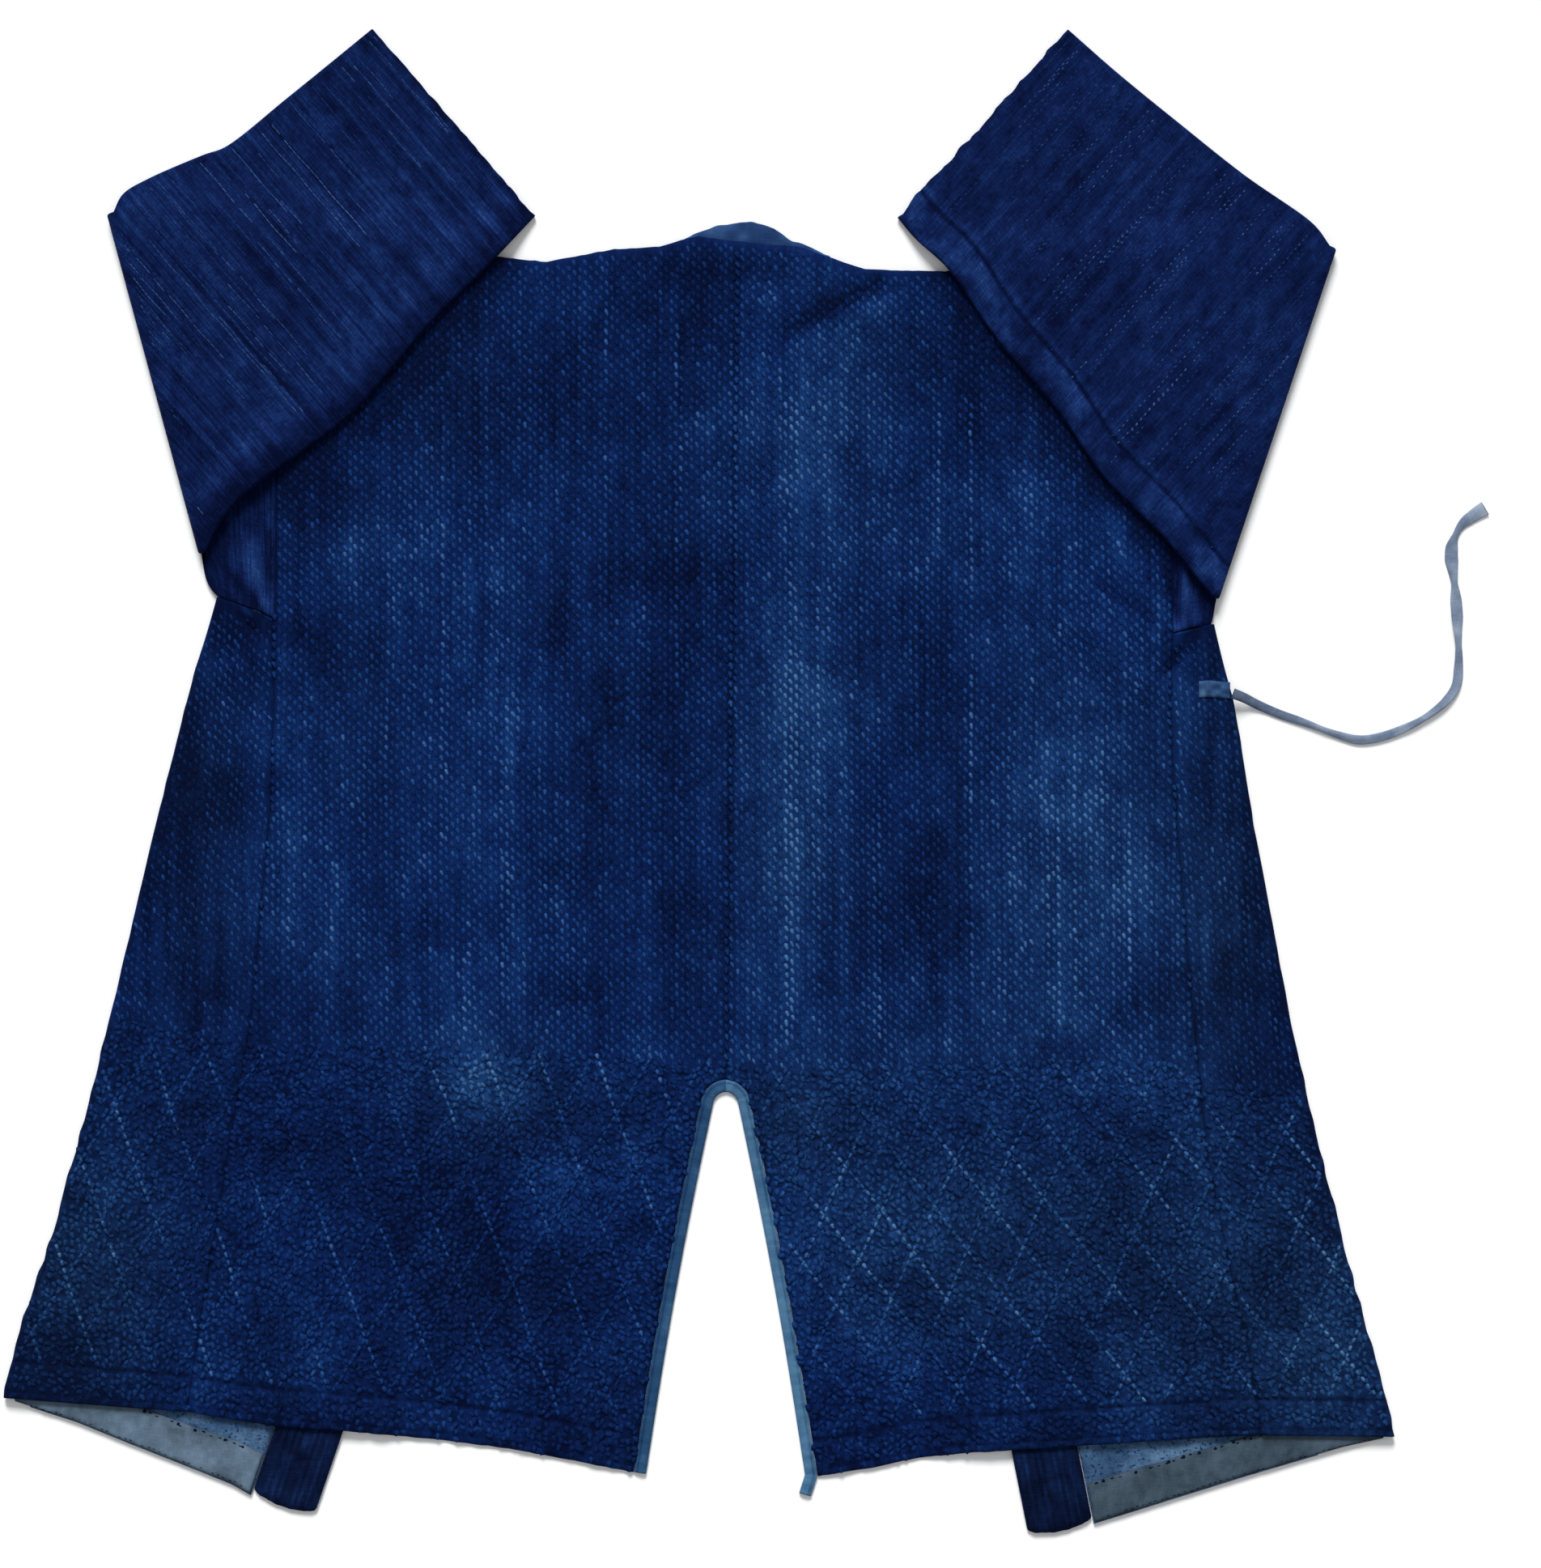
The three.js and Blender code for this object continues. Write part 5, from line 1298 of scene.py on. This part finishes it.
def sleeve_ring(side, lows, highs, turn, lying_down, outward, off, relief):
    """Rings of a sleeve's tube, `off` from its middle layer, and each point's (along, across).

    Along grows to the cuff. Past the middle of the fold it is measured square to the cuff, so that the
    streaks, where it is constant, run as the cuff does.

    A ring runs along the front face, round the shoulder edge, back along the rear face and round the
    underarm edge; both edges are half circles. Lying and turning rings swing about the fold's axis. The
    front face is puffed up by its underarm edge, and a felled seam is a raised strip, a groove and a ridge.
    """
    half = SLEEVE_HALF
    width = np.linalg.norm(highs - lows, axis=1)[:, None]
    near = np.linspace(0, 1, NEAR_COLUMNS)[None]
    far = np.linspace(0, 1, SLEEVE_COLUMNS - NEAR_COLUMNS + 1)[None, 1:]
    arc = np.radians([30, 60, 90, 120, 150])[None]
    flat = np.hstack([mix(half, NEAR_SEAM, near) + 0 * width, mix(NEAR_SEAM, width - half, far)])
    high_arc, low_arc = width - half + off * np.sin(arc), half - off * np.sin(arc)
    distance = np.hstack([flat, high_arc, flat[:, ::-1], low_arc + 0 * width])
    full = np.ones_like(flat)
    round_arc = np.cos(arc) + 0 * width
    away = off * np.hstack([full, round_arc, -full, -round_arc])
    place = lows[:, None] + (highs - lows)[:, None] * (distance / width)[..., None]
    x, y = place[..., 0], place[..., 1]
    front = np.hstack([full, 0.5 + 0.5 * round_arc, 0 * full, 0.5 - 0.5 * round_arc])
    step = step_lengths((lows + highs) / 2) + SLEEVE_BEND * np.abs(np.diff(turn))
    gone = np.concatenate([[0], np.cumsum(step)])[:, None] + 0 * distance
    cuff = (highs[-1] - lows[-1]) / width[-1]
    square = (x - lows[-1, 0]) * cuff[1] - (y - lows[-1, 1]) * cuff[0]
    from_cuff = square * np.sign(square[LYING_STATIONS, 0])
    past_middle = (np.arange(len(turn)) > LYING_STATIONS + FOLD_STATIONS // 2)[:, None]
    before_top = np.minimum(gone - gone[TURNED_OVER - 1], 0)
    streak_place = np.where(past_middle, gone[-1:] - from_cuff + before_top, gone)
    soft = crease_lift(SLEEVE_CREASES[side], x, y) + 0.3 * soft_noise(x, y, 30, 101)
    raised = SLEEVES[side]["felled"] * (1 - ease((distance - FELLED_SEAM_WIDTH) / 1.6))
    if SLEEVES[side]["felled"]:
        fine_pucker = 0.8 * soft_noise(gone, 0.3 * distance, 6.5, 103)
        broad_pucker = 0.6 * soft_noise(gone, distance, 11, 104)
        soft = soft + (fine_pucker + broad_pucker) * bell(distance - 15, 10) + 0.8 * bell(distance - 10, 8)
        soft = soft + 0.7 * bell(distance - FELLED_RIDGE, 1.8) - 1.1 * bell(distance - FELLED_ROW, 1.1)
    else:
        soft = soft + 2.2 * bell(distance - 13, 11) * ease((gone - 20) / 60)
    fine = relief * 0.16 * soft_noise(x, y, 4.5, 102)
    settled = np.where(lying_down, ease(np.sin(turn)), 1)[:, None]
    lift = front * settled * (relief * raised + np.maximum(soft, -0.8) + fine)
    lying = (turn < -1.5)[:, None]
    lift = lift + relief * (1 - front) * lying * np.maximum(crease_lift(CREASES, x, y), -1.3)
    z_folded = sleeve_lift(side, x, y) + half + away
    radius = SLEEVE_BEND + away
    z_turning = half + SLEEVE_BEND + radius * np.sin(turn)[:, None]
    swing = (radius * np.cos(turn)[:, None])[..., None] * outward
    swing = np.where(lying_down[:, None, None], swing, 0)
    z = np.where(lying_down[:, None], z_turning, z_folded) + lift
    turned = np.where(front > 0.5, distance, -distance)
    return np.dstack([place + swing, z]), np.dstack([streak_place, turned])


def sleeve_fade_and_painted_light(side, along, across, folded, shade):
    """How faded a sleeve is: fine streaks across it (parallel to the cuff), slow clouds, its seam, the
    painted shade under its fold and along its underarm edge, and on the left sleeve a painted highlight
    beside that edge."""
    broad, narrow, seed = STREAKS[side]

    def noise(size, k, stretch=1):
        return soft_noise(along * stretch, across, size, seed + k)

    streaks = broad * noise(160, 0, 20) + narrow * noise(130, 1, 46)
    marks = FADED[side]["sleeve"] + streaks * folded + 0.10 * noise(40, 2) + 0.07 * noise(9, 3) - shade
    if SLEEVES[side]["felled"]:
        strip = (1 - ease((across - FELLED_SEAM_WIDTH) / 2)) * (across > 0)
        patchy = 0.16 + 0.22 * noise(22, 4) + 0.16 * noise(7, 5)
        seam = 0.19 * bell(across - FELLED_RIDGE, 1.7) - 0.36 * bell(across - FELLED_ROW, 1.1)
        seam = seam * folded * (0.4 + 0.6 * ease((along - 90) / 60))
        # Painted shade along the underarm edge.
        return marks + strip * (patchy - 0.7 * streaks) + seam - 0.20 * bell(across, 5)
    # Painted shade along the underarm edge, and a painted highlight on the puff beside it.
    return marks - 0.30 * bell(across, 12) + 0.07 * bell(across - 28, 9)


def put_sleeve(side):
    """A sleeve: an outer and an inner tube joined at the armhole and at the ragged cuff.

    It is returned with its folded face, the streak places of that face's points, and the face's widths.
    """
    stations = sleeve_stations(side)
    outer, places = sleeve_ring(side, *stations, SLEEVE_HALF, 1)
    inner, _ = sleeve_ring(side, *stations, SLEEVE_HOLLOW / 2, 0)
    rough, seed = RAGGED[side]
    along_cuff = np.abs(places[-1, :, 1])
    level = 0 * along_cuff
    ragged = soft_noise(along_cuff, level, 12, seed) + soft_noise(along_cuff, level, 4.5, seed + 2)
    ragged = rough * ragged
    if side == "right":
        ragged = ragged + 1.6 * bell(along_cuff - 19, 11)
    cuff_way = outer[-1] - outer[-2]
    cuff_way /= np.linalg.norm(cuff_way, axis=1)[:, None] + 1e-9
    for tube in (outer, inner):
        tube[-1, :, :2] += cuff_way[:, :2] * ragged[:, None]
    quads = grid_quads(numbered(*outer.shape[:2]), looped=True)
    station = np.arange(len(outer))[:, None]
    lying, to_fold = station < LYING_STATIONS, unit(station / LYING_STATIONS)
    x, y = outer[..., 0], outer[..., 1]
    # Painted shade on the lying part towards the fold, by the folded edge and in crease troughs, and by the
    # armpits.
    creased = 0.27 * np.clip(crease_lift(CREASES, x, y), -2.2, 1.6)
    shade = lying * (0.9 * painted_sleeve_shadow(x, y) + 0.08 * to_fold**2 - creased - 0.10) + patches(SHADES, x, y)
    marks = sleeve_fade_and_painted_light(side, places[..., 0], places[..., 1], 1 - lying, shade)
    sleeve = put_wall(
        f"sleeve_{side}_cloth", outer, inner, quads, [sleeve_indigo[side], inside_cloth], "indigo_sleeve",
        marks, places.reshape(-1, 2),
    )
    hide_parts(f"sleeve_{side}")
    widths = np.linalg.norm(stations[1] - stations[0], axis=1)[TURNED_OVER:]
    return sleeve, outer[TURNED_OVER:, :SLEEVE_COLUMNS], places[TURNED_OVER:, :SLEEVE_COLUMNS], widths


def on_grid(grid, i, j):
    """Points of a grid at fractional rows and columns, straight between its points."""
    i = np.clip(i, 0, grid.shape[0] - 1.001)
    j = np.clip(j, 0, grid.shape[1] - 1.001)
    r, c = np.floor(i).astype(int), np.floor(j).astype(int)
    u, v = (i - r)[:, None], (j - c)[:, None]
    return mix(mix(grid[r, c], grid[r + 1, c], u), mix(grid[r, c + 1], grid[r + 1, c + 1], u), v)


def sleeve_spots(top, widths, i, distance):
    """Points on a folded sleeve's face: i along its stations, and a distance from its underarm edge."""
    width = np.interp(i, np.arange(len(widths)), widths)
    near = (distance - SLEEVE_HALF) / (NEAR_SEAM - SLEEVE_HALF) * (NEAR_COLUMNS - 1)
    far = (distance - NEAR_SEAM) / (width - SLEEVE_HALF - NEAR_SEAM) * (SLEEVE_COLUMNS - NEAR_COLUMNS)
    return on_grid(top, i, np.where(distance < NEAR_SEAM, near, NEAR_COLUMNS - 1 + far))


# Slub runs of a sleeve: how many, the longest, stitch length as a share of the pitch, width and seed
SLUB_RUNS = {"left": (230, 74, 1.3, 1.15, 141), "right": (230, 44, 0.6, 1.35, 142)}
SLUB_PITCH = 4.6


def on_streak(lines, widths, along, distance):
    """The station where a streak line with a given along is at a distance from the underarm edge: the
    range of stations is halved again and again."""
    low, high = np.zeros(len(along)), np.full(len(along), len(widths) - 1.0)
    for _ in range(14):
        middle = (low + high) / 2
        short = sleeve_spots(lines, widths, middle, distance)[:, 0] < along
        low, high = np.where(short, middle, low), np.where(short, high, middle)
    return (low + high) / 2


def put_slubs(side, top, lines, widths):
    """Raised slub threads on a folded sleeve: runs of short stitches parallel to the cuff."""
    runs, longest, share, thick, seed = SLUB_RUNS[side]
    rng = np.random.default_rng(seed)
    first = rng.uniform(lines[..., 0].min(), lines[..., 0].max() - 2, runs)
    start = rng.uniform(3, 230, runs)
    count = (4 + (longest - 4) * rng.uniform(0, 1, runs) ** 1.8).astype(int)
    strength = rng.uniform(0.1, 1, runs) ** 1.9
    which = np.repeat(np.arange(runs), count)
    order = np.concatenate([np.arange(n) for n in count])
    distance = start[which] + order * SLUB_PITCH
    along = first[which] + 0.3 * np.sin(order * 0.7 + which)
    i = on_streak(lines, widths, along, distance)
    width = np.interp(i, np.arange(len(widths)), widths)
    keep = (distance + SLUB_PITCH < width - 4) & (i > 1) & (i < len(widths) - 2)
    keep &= rng.uniform(size=len(i)) < 0.93
    along, distance, which = along[keep], distance[keep], which[keep]
    ends = [distance + part * share * SLUB_PITCH for part in (0, 1)]
    tail, head = (sleeve_spots(top, widths, on_streak(lines, widths, along, end), end) for end in ends)
    marks = unit(0.36 + 0.52 * strength[which] + rng.normal(0, 0.06, len(along)))
    return put_stitches(f"sleeve_{side}_slubs", tail, head, thick, 0.3, slub_indigo, "indigo_sleeve", marks)


def put_felled_stitches(top, widths):
    """The dark stitches in the groove of the right sleeve's felled seam, and a fainter row by its edge."""
    sets = []
    for distance, thick, seed in ((FELLED_ROW, 1.3, 143), (5.0, 0.8, 144)):
        rng = np.random.default_rng(seed)
        i = np.arange(1, len(widths) - 2.5, 2.0)
        i = i + rng.uniform(-0.1, 0.1, len(i))
        stray = distance + 0.25 * rng.normal(size=len(i))
        tail, head = (sleeve_spots(top, widths, i + part, stray) for part in (0, 1.45))
        sets.append((tail, head, thick, 0.15, 0.12))
    return put_stitch_sets("felled_seam_stitches", sets, dark_thread, "indigo_band")


# Stitching of the body

# The lattices of rice grains and of crepe bumps: column and row spacing, and how far points stray
GRAIN_LATTICE = (3.5, 6.2, (0.3, 0.45))
BUMP_LATTICE = (4.1, 4.8, (0.8, 0.9))
GRAIN_LENGTH, GRAIN_WIDTH, GRAIN_RISE, GRAIN_TILT, GRAIN_LIGHT = 5.6, 3.2, 0.7, 0.36, 0.10
BUMP_HALF, BUMP_WIDTH, BUMP_RISE = (2.1, 3.1), (3.4, 4.9), (0.6, 1.15)
DASH_PITCH, DASH_LENGTH, DASH_WIDTH, DASH_RISE = 5.4, 4.7, 3.3, 1.2
GORE_LEAN = 0.0935

# Diamond stitching: between which x, one line's x at its top, its lean going down, spacing and strength
DIAMONDS = table("from_x to_x start lean spacing strength", [
    (-460, 8, -247.3, 0.36, 35.5, 0.72),
    (-460, 8, -60, -0.62, 36, 0.34),
    (24, 460, 143.3, 0.78, 37.5, 0.80),
    (24, 460, 267.1, -0.45, 34, 0.62),
])
DIAMOND_TOP, DIAMOND_CLEAR = -166, 3


def grain_ends(count, rng):
    """The half vectors of rice grains, leaning to the left as they go up, each a little its own way."""
    half = GRAIN_LENGTH / 2 * rng.uniform(0.85, 1.1, count)
    lean = GRAIN_TILT + 0.12 * rng.normal(size=count)
    return -half * np.sin(lean), half * np.cos(lean)


def bump_ends(x, y, rng):
    """The half vectors of crepe bumps: short, mostly leaning as the grains do, with some lying across."""
    half = rng.uniform(*BUMP_HALF, len(x))
    lean = 0.45 + 0.5 * soft_noise(x, y, 40, 155) + 0.55 * rng.normal(size=len(x))
    return -half * np.sin(lean), half * np.cos(lean)


def grain_marks(x, y, rng):
    """How faded rice grains are, with painted shade: lighter than their ground, and lightest on the bright
    slub threads.
    """
    column = 0.10 * soft_noise(np.round(x / GRAIN_LATTICE[0]) * 40.0, y, 60, 154)
    own = 0.09 * rng.normal(size=len(x))
    return unit(fade_and_painted_shade(x, y) + GRAIN_LIGHT + column + slub_light(x, y) + own)


def bump_marks(x, y, rng):
    """How faded crepe bumps are, with painted shade: patchy, some nearly as dark as their ground."""
    patch = 0.09 * soft_noise(x, y, 24, 156)
    return unit(fade_and_painted_shade(x, y) + 0.02 + patch + 0.05 * rng.normal(size=len(x)))


def off_hem_rows(x, y):
    """Whether points are clear of the two stitched rows of the hem and its very edge."""
    above = from_hem(x, y)
    return (np.abs(above - HEM_TURN) > 1.7) & (np.abs(above - HEM_ROW) > 1.4) & (above > 1.6)


def on_back(x, y, dx, dy):
    """Tails and heads of stitches on the back."""
    return on_heights(x - dx, y - dy, body_top), on_heights(x + dx, y + dy, body_top)


def lattice(spacing, wide, high, rng):
    """Points of a lattice whose every second column is half a row up, strayed a little.

    `spacing` is (column, row, strays), and `wide` and `high` are the ranges of its columns and rows.
    """
    column, row, stray = spacing
    c, r = np.meshgrid(np.arange(*wide), np.arange(*high))
    c, r = c.ravel(), r.ravel()
    x = c * column + stray[0] * rng.normal(size=len(c))
    y = r * row + (c % 2) * row / 2 + stray[1] * rng.normal(size=len(c))
    return x + 1.2 * soft_noise(x, y, 110, 152), y + 1.5 * soft_noise(x, y, 90, 153)


def put_rice_stitches(outline, covers):
    """Rice-grain stitches of the upper back, where no sleeve covers it."""
    rng = np.random.default_rng(151)
    x, y = lattice(GRAIN_LATTICE, (-96, 106), (-34, 60), rng)
    keep = inside(outline, x, y) & (crepe_share(x, y) < 0.5) & (from_top(x, y) > 4)
    for cover in covers:
        keep &= ~inside(cover, x, y)
    x, y = x[keep], y[keep]
    tail, head = on_back(x, y, *grain_ends(len(x), rng))
    width = GRAIN_WIDTH * rng.uniform(0.85, 1.12, len(x))
    rise = GRAIN_RISE * rng.uniform(0.75, 1.15, len(x))
    marks = grain_marks(x, y, rng)
    return put_stitches("rice_stitches", tail, head, width, rise, stitch_indigo, "indigo_sashiko", marks)


def put_crepe_bumps(outline):
    """The bumps of the lower back's crepe: short grains of many sizes that lean many ways."""
    rng = np.random.default_rng(157)
    x, y = lattice(BUMP_LATTICE, (-84, 92), (-95, -28), rng)
    keep = inside(outline, x, y) & (crepe_share(x, y) > 0.5) & off_hem_rows(x, y)
    x, y = x[keep], y[keep]
    tail, head = on_back(x, y, *bump_ends(x, y, rng))
    width, rise = rng.uniform(*BUMP_WIDTH, len(x)), rng.uniform(*BUMP_RISE, len(x))
    marks = bump_marks(x, y, rng)
    return put_stitches("crepe_bumps", tail, head, width, rise, stitch_indigo, "indigo_sashiko", marks, 0.3)


def diamond_dashes(allowed):
    """Middles, half vectors and marks of the diamond stitching clear of the hem, where `allowed` says:
    families of leaning lines of dashes, some faint and some gone."""
    middles, halves, marks = [], [], []
    rng = np.random.default_rng(161)
    for from_x, to_x, start, lean, spacing, strength in zip(*DIAMONDS.values()):
        for k in range(-16, 20):
            down = np.arange(0, 270, DASH_PITCH / math.hypot(1, lean))
            x = start + k * spacing + lean * down
            y = DIAMOND_TOP - down
            x = x + 1.6 * soft_noise(y, k * 40.0, 30, 162)
            clear = (x > from_x) & (x < to_x) & (crepe_share(x, y) > 0.6) & allowed(x, y)
            clear &= (rng.uniform(size=len(x)) < 0.95) & (from_hem(x, y) > HEM_TURN + DIAMOND_CLEAR)
            x, y = x[clear], y[clear]
            half = DASH_LENGTH / 2 / math.hypot(1, lean)
            middles.append(np.column_stack([x, y]))
            halves.append(np.tile([-lean * half, half], (len(x), 1)))
            patchy = 0.32 * soft_noise(x, y, 30, 163) + 0.1 * rng.normal(size=len(x))
            marks.append(unit(fade_and_painted_shade(x, y) + 0.05 + strength * (0.32 + patchy)))
    return np.vstack(middles), np.vstack(halves), np.concatenate(marks)


def put_diamonds(outline):
    """Diamond stitching of the lower back."""

    def allowed(x, y):
        by_vent = vent_half(np.clip(VENT_TOP - y, 0, VENT_LENGTH)) + 6
        return (np.abs(x - VENT_X) > by_vent) & inside(outline, x, y)

    middle, half, marks = diamond_dashes(allowed)
    tail, head = on_back(*middle.T, *half.T)
    rows = (DASH_WIDTH, DASH_RISE, stitch_indigo, "indigo_sashiko")
    return put_stitches("diamond_stitches", tail, head, *rows, marks)


def put_hem_stitches():
    """The dark stitch rows of the back's turned hem, left and right of the vent."""
    half = vent_half(VENT_LENGTH)
    sets = []
    for low, high, seed in ((-327, VENT_X - half - 4, 171), (VENT_X + half + 4, 359, 172)):
        for above, pitch, length, thick in ((HEM_TURN, 5.4, 3.8, 1.2), (HEM_ROW, 6.1, 3.4, 0.9)):
            x = np.linspace(low, high, 60)
            line = np.column_stack([x, look_up(HEM_EDGE, "x", x, "y") + above])
            sets.append((*dashes(line, pitch, length, body_top, seed, 0.2), thick, 0.2, 0.14))
    return put_stitch_sets("hem_stitches", sets, dark_thread, "indigo_sashiko")


def gore_place(side, x, y):
    """Where points lie on a gore, found in three rounds: t down its length, and the share of its width."""
    (high_seam, low_seam), (high_fold, low_fold) = SIDES[side]["seam"], SIDES[side]["fold"]
    share = np.full(x.shape, 0.5)
    for _ in range(3):
        high, low = mix(high_seam, high_fold, share), mix(low_seam, low_fold, share)
        t = (high - y) / (high - low)
        seam_x = look_up(COURSES, "t", t, f"seam_{side}")
        share = (x - seam_x) / (look_up(COURSES, "t", t, f"fold_{side}") - seam_x)
    return t, share


def on_gore(side, top, x, y):
    """Points on a gore's upper face over (x, y): its grid is read at their t and share."""
    t, share = gore_place(side, x, y)
    width = gore_course(side, unit(t))[2]
    reach = share * width / (width - GORE_BEND - GORE_HALF)
    i = np.interp(t, GORE_COURSES, np.arange(len(GORE_COURSES)))
    j = np.interp(reach, GORE_SHARES, np.arange(len(GORE_SHARES)))
    return np.column_stack([x, y, on_grid(top, i, j)[:, 2]])


def put_gore_stitches(side, top):
    """A gore's stitches: rice grains above, crepe bumps and diamonds below, and the hem's dark row."""
    sign = SIDES[side]["sign"]
    rng = np.random.default_rng(181 if side == "left" else 182)

    def allowed(x, y):
        t, share = gore_place(side, x, y)
        width = gore_course(side, unit(t))[2]
        return (t > 0.012) & (t < 0.992) & (share * width > 2) & ((1 - share) * width > 2.6)

    def ends(x, y, dx, dy):
        return on_gore(side, top, x - dx, y - dy), on_gore(side, top, x + dx, y + dy)

    wide = (75, 132) if sign > 0 else (-132, -75)
    x, y = lattice(GRAIN_LATTICE, wide, (-34, 20), rng)
    x = x - sign * GORE_LEAN * (y - 100)
    keep = allowed(x, y) & (crepe_share(x, y) < 0.5)
    x, y = x[keep], y[keep]
    t, share = gore_place(side, x, y)
    width = gore_course(side, t)[2]
    gore_shift = gore_tone(share * width, width - GORE_BEND - GORE_HALF)
    sets = [(
        *ends(x, y, *grain_ends(len(x), rng)), GRAIN_WIDTH * rng.uniform(0.8, 1.0, len(x)),
        GRAIN_RISE * rng.uniform(0.7, 1.0, len(x)), unit(grain_marks(x, y, rng) + gore_shift),
    )]
    wide = (66, 112) if sign > 0 else (-112, -66)
    x, y = lattice(BUMP_LATTICE, wide, (-92, -26), rng)
    keep = allowed(x, y) & (crepe_share(x, y) > 0.5) & off_hem_rows(x, y)
    x, y = x[keep], y[keep]
    sets.append((
        *ends(x, y, *bump_ends(x, y, rng)), rng.uniform(*BUMP_WIDTH, len(x)),
        rng.uniform(*BUMP_RISE, len(x)), unit(bump_marks(x, y, rng) - 0.03),
    ))
    middle, half, marks = diamond_dashes(allowed)
    sets.append((*ends(*middle.T, *half.T), DASH_WIDTH, DASH_RISE, unit(marks - 0.03)))
    light = put_stitch_sets(f"gore_{side}_stitches", sets, stitch_indigo, "indigo_sashiko", 0.35)
    length = np.linalg.norm(side_point(side, "seam", 1.0) - side_point(side, "seam", 0.0))
    seam, across, width, _ = gore_course(side, np.array([1 - HEM_TURN / length]))
    line = seam + across * np.linspace(2.5, width[0] - 3.5, 40)[:, None]
    row = dashes(line, 5.4, 4.0, lambda x, y: on_gore(side, top, x, y)[:, 2], 183, 0.2)
    sets = [(*row, 1.5, 0.2, 0.14)]
    dark = put_stitch_sets(f"gore_{side}_hem_stitches", sets, dark_thread, "indigo_sashiko")
    return [light, dark]


# Stage

SUN_FROM, SUN_STRENGTH, SUN_WIDTH, GLOW = (-0.12, 1.0, 0.74), 3.7, 22, 0.48
FLOOR_HALF, FLOOR_DOWN = 6, -0.0004


def set_stage():
    """A plain pale floor, a broad soft light from the collar's side and an even studio glow."""
    signs = ((-1, -1), (1, -1), (1, 1), (-1, 1))
    corners = [(x * FLOOR_HALF, y * FLOOR_HALF, FLOOR_DOWN) for x, y in signs]
    mesh = bpy.data.meshes.new("floor")
    mesh.from_pydata(corners, [], [(0, 1, 2, 3)])
    material, _, shader = blank_finish("pale_floor", 0.9, 0)
    shader.inputs["Base Color"].default_value = (0.93, 0.93, 0.93, 1)
    mesh.materials.append(material)
    floor = add_object("floor", mesh)
    world = bpy.data.worlds.new("studio")
    world.use_nodes = True
    glow = world.node_tree.nodes["Background"]
    glow.inputs["Color"].default_value = (0.98, 0.99, 1.0, 1)
    glow.inputs["Strength"].default_value = GLOW
    bpy.context.scene.world = world
    light = bpy.data.lights.new("window", "SUN")
    light.energy = SUN_STRENGTH
    light.angle = math.radians(SUN_WIDTH)
    lamp = add_object("window", light)
    lamp.rotation_euler = Vector(SUN_FROM).to_track_quat("Z", "Y").to_euler()
    bpy.context.scene.view_settings.view_transform = "Standard"


set_camera()
put_tie()
back, back_outline = put_back()
gores, gore_stitches, fronts, facings, bands, sleeves, on_sleeves = ({} for _ in range(7))
covers = []
for side in SIDES:
    gores[side], gore_top = put_gore(side)
    gore_stitches[side] = put_gore_stitches(side, gore_top)
    fronts[side] = put_front(side)
    facings[side] = put_facing(side)
    bands[side] = put_band(side)
    sleeves[side], sleeve_top, streak_lines, widths = put_sleeve(side)
    on_sleeves[side] = [put_slubs(side, sleeve_top, streak_lines, widths)]
    if SLEEVES[side]["felled"]:
        on_sleeves[side].append(put_felled_stitches(sleeve_top, widths))
    flat_top = sleeve_top[..., :2]
    covers.append(np.vstack([flat_top[:, 2], flat_top[-1, 2:], flat_top[::-1, -1], flat_top[0, ::-1]]))
nape = put_nape()
binding = put_binding()
tab = put_tab()
on_back_cloth = [
    put_rice_stitches(back_outline, covers), put_crepe_bumps(back_outline), put_diamonds(back_outline),
    put_hem_stitches(),
]

set_stage()
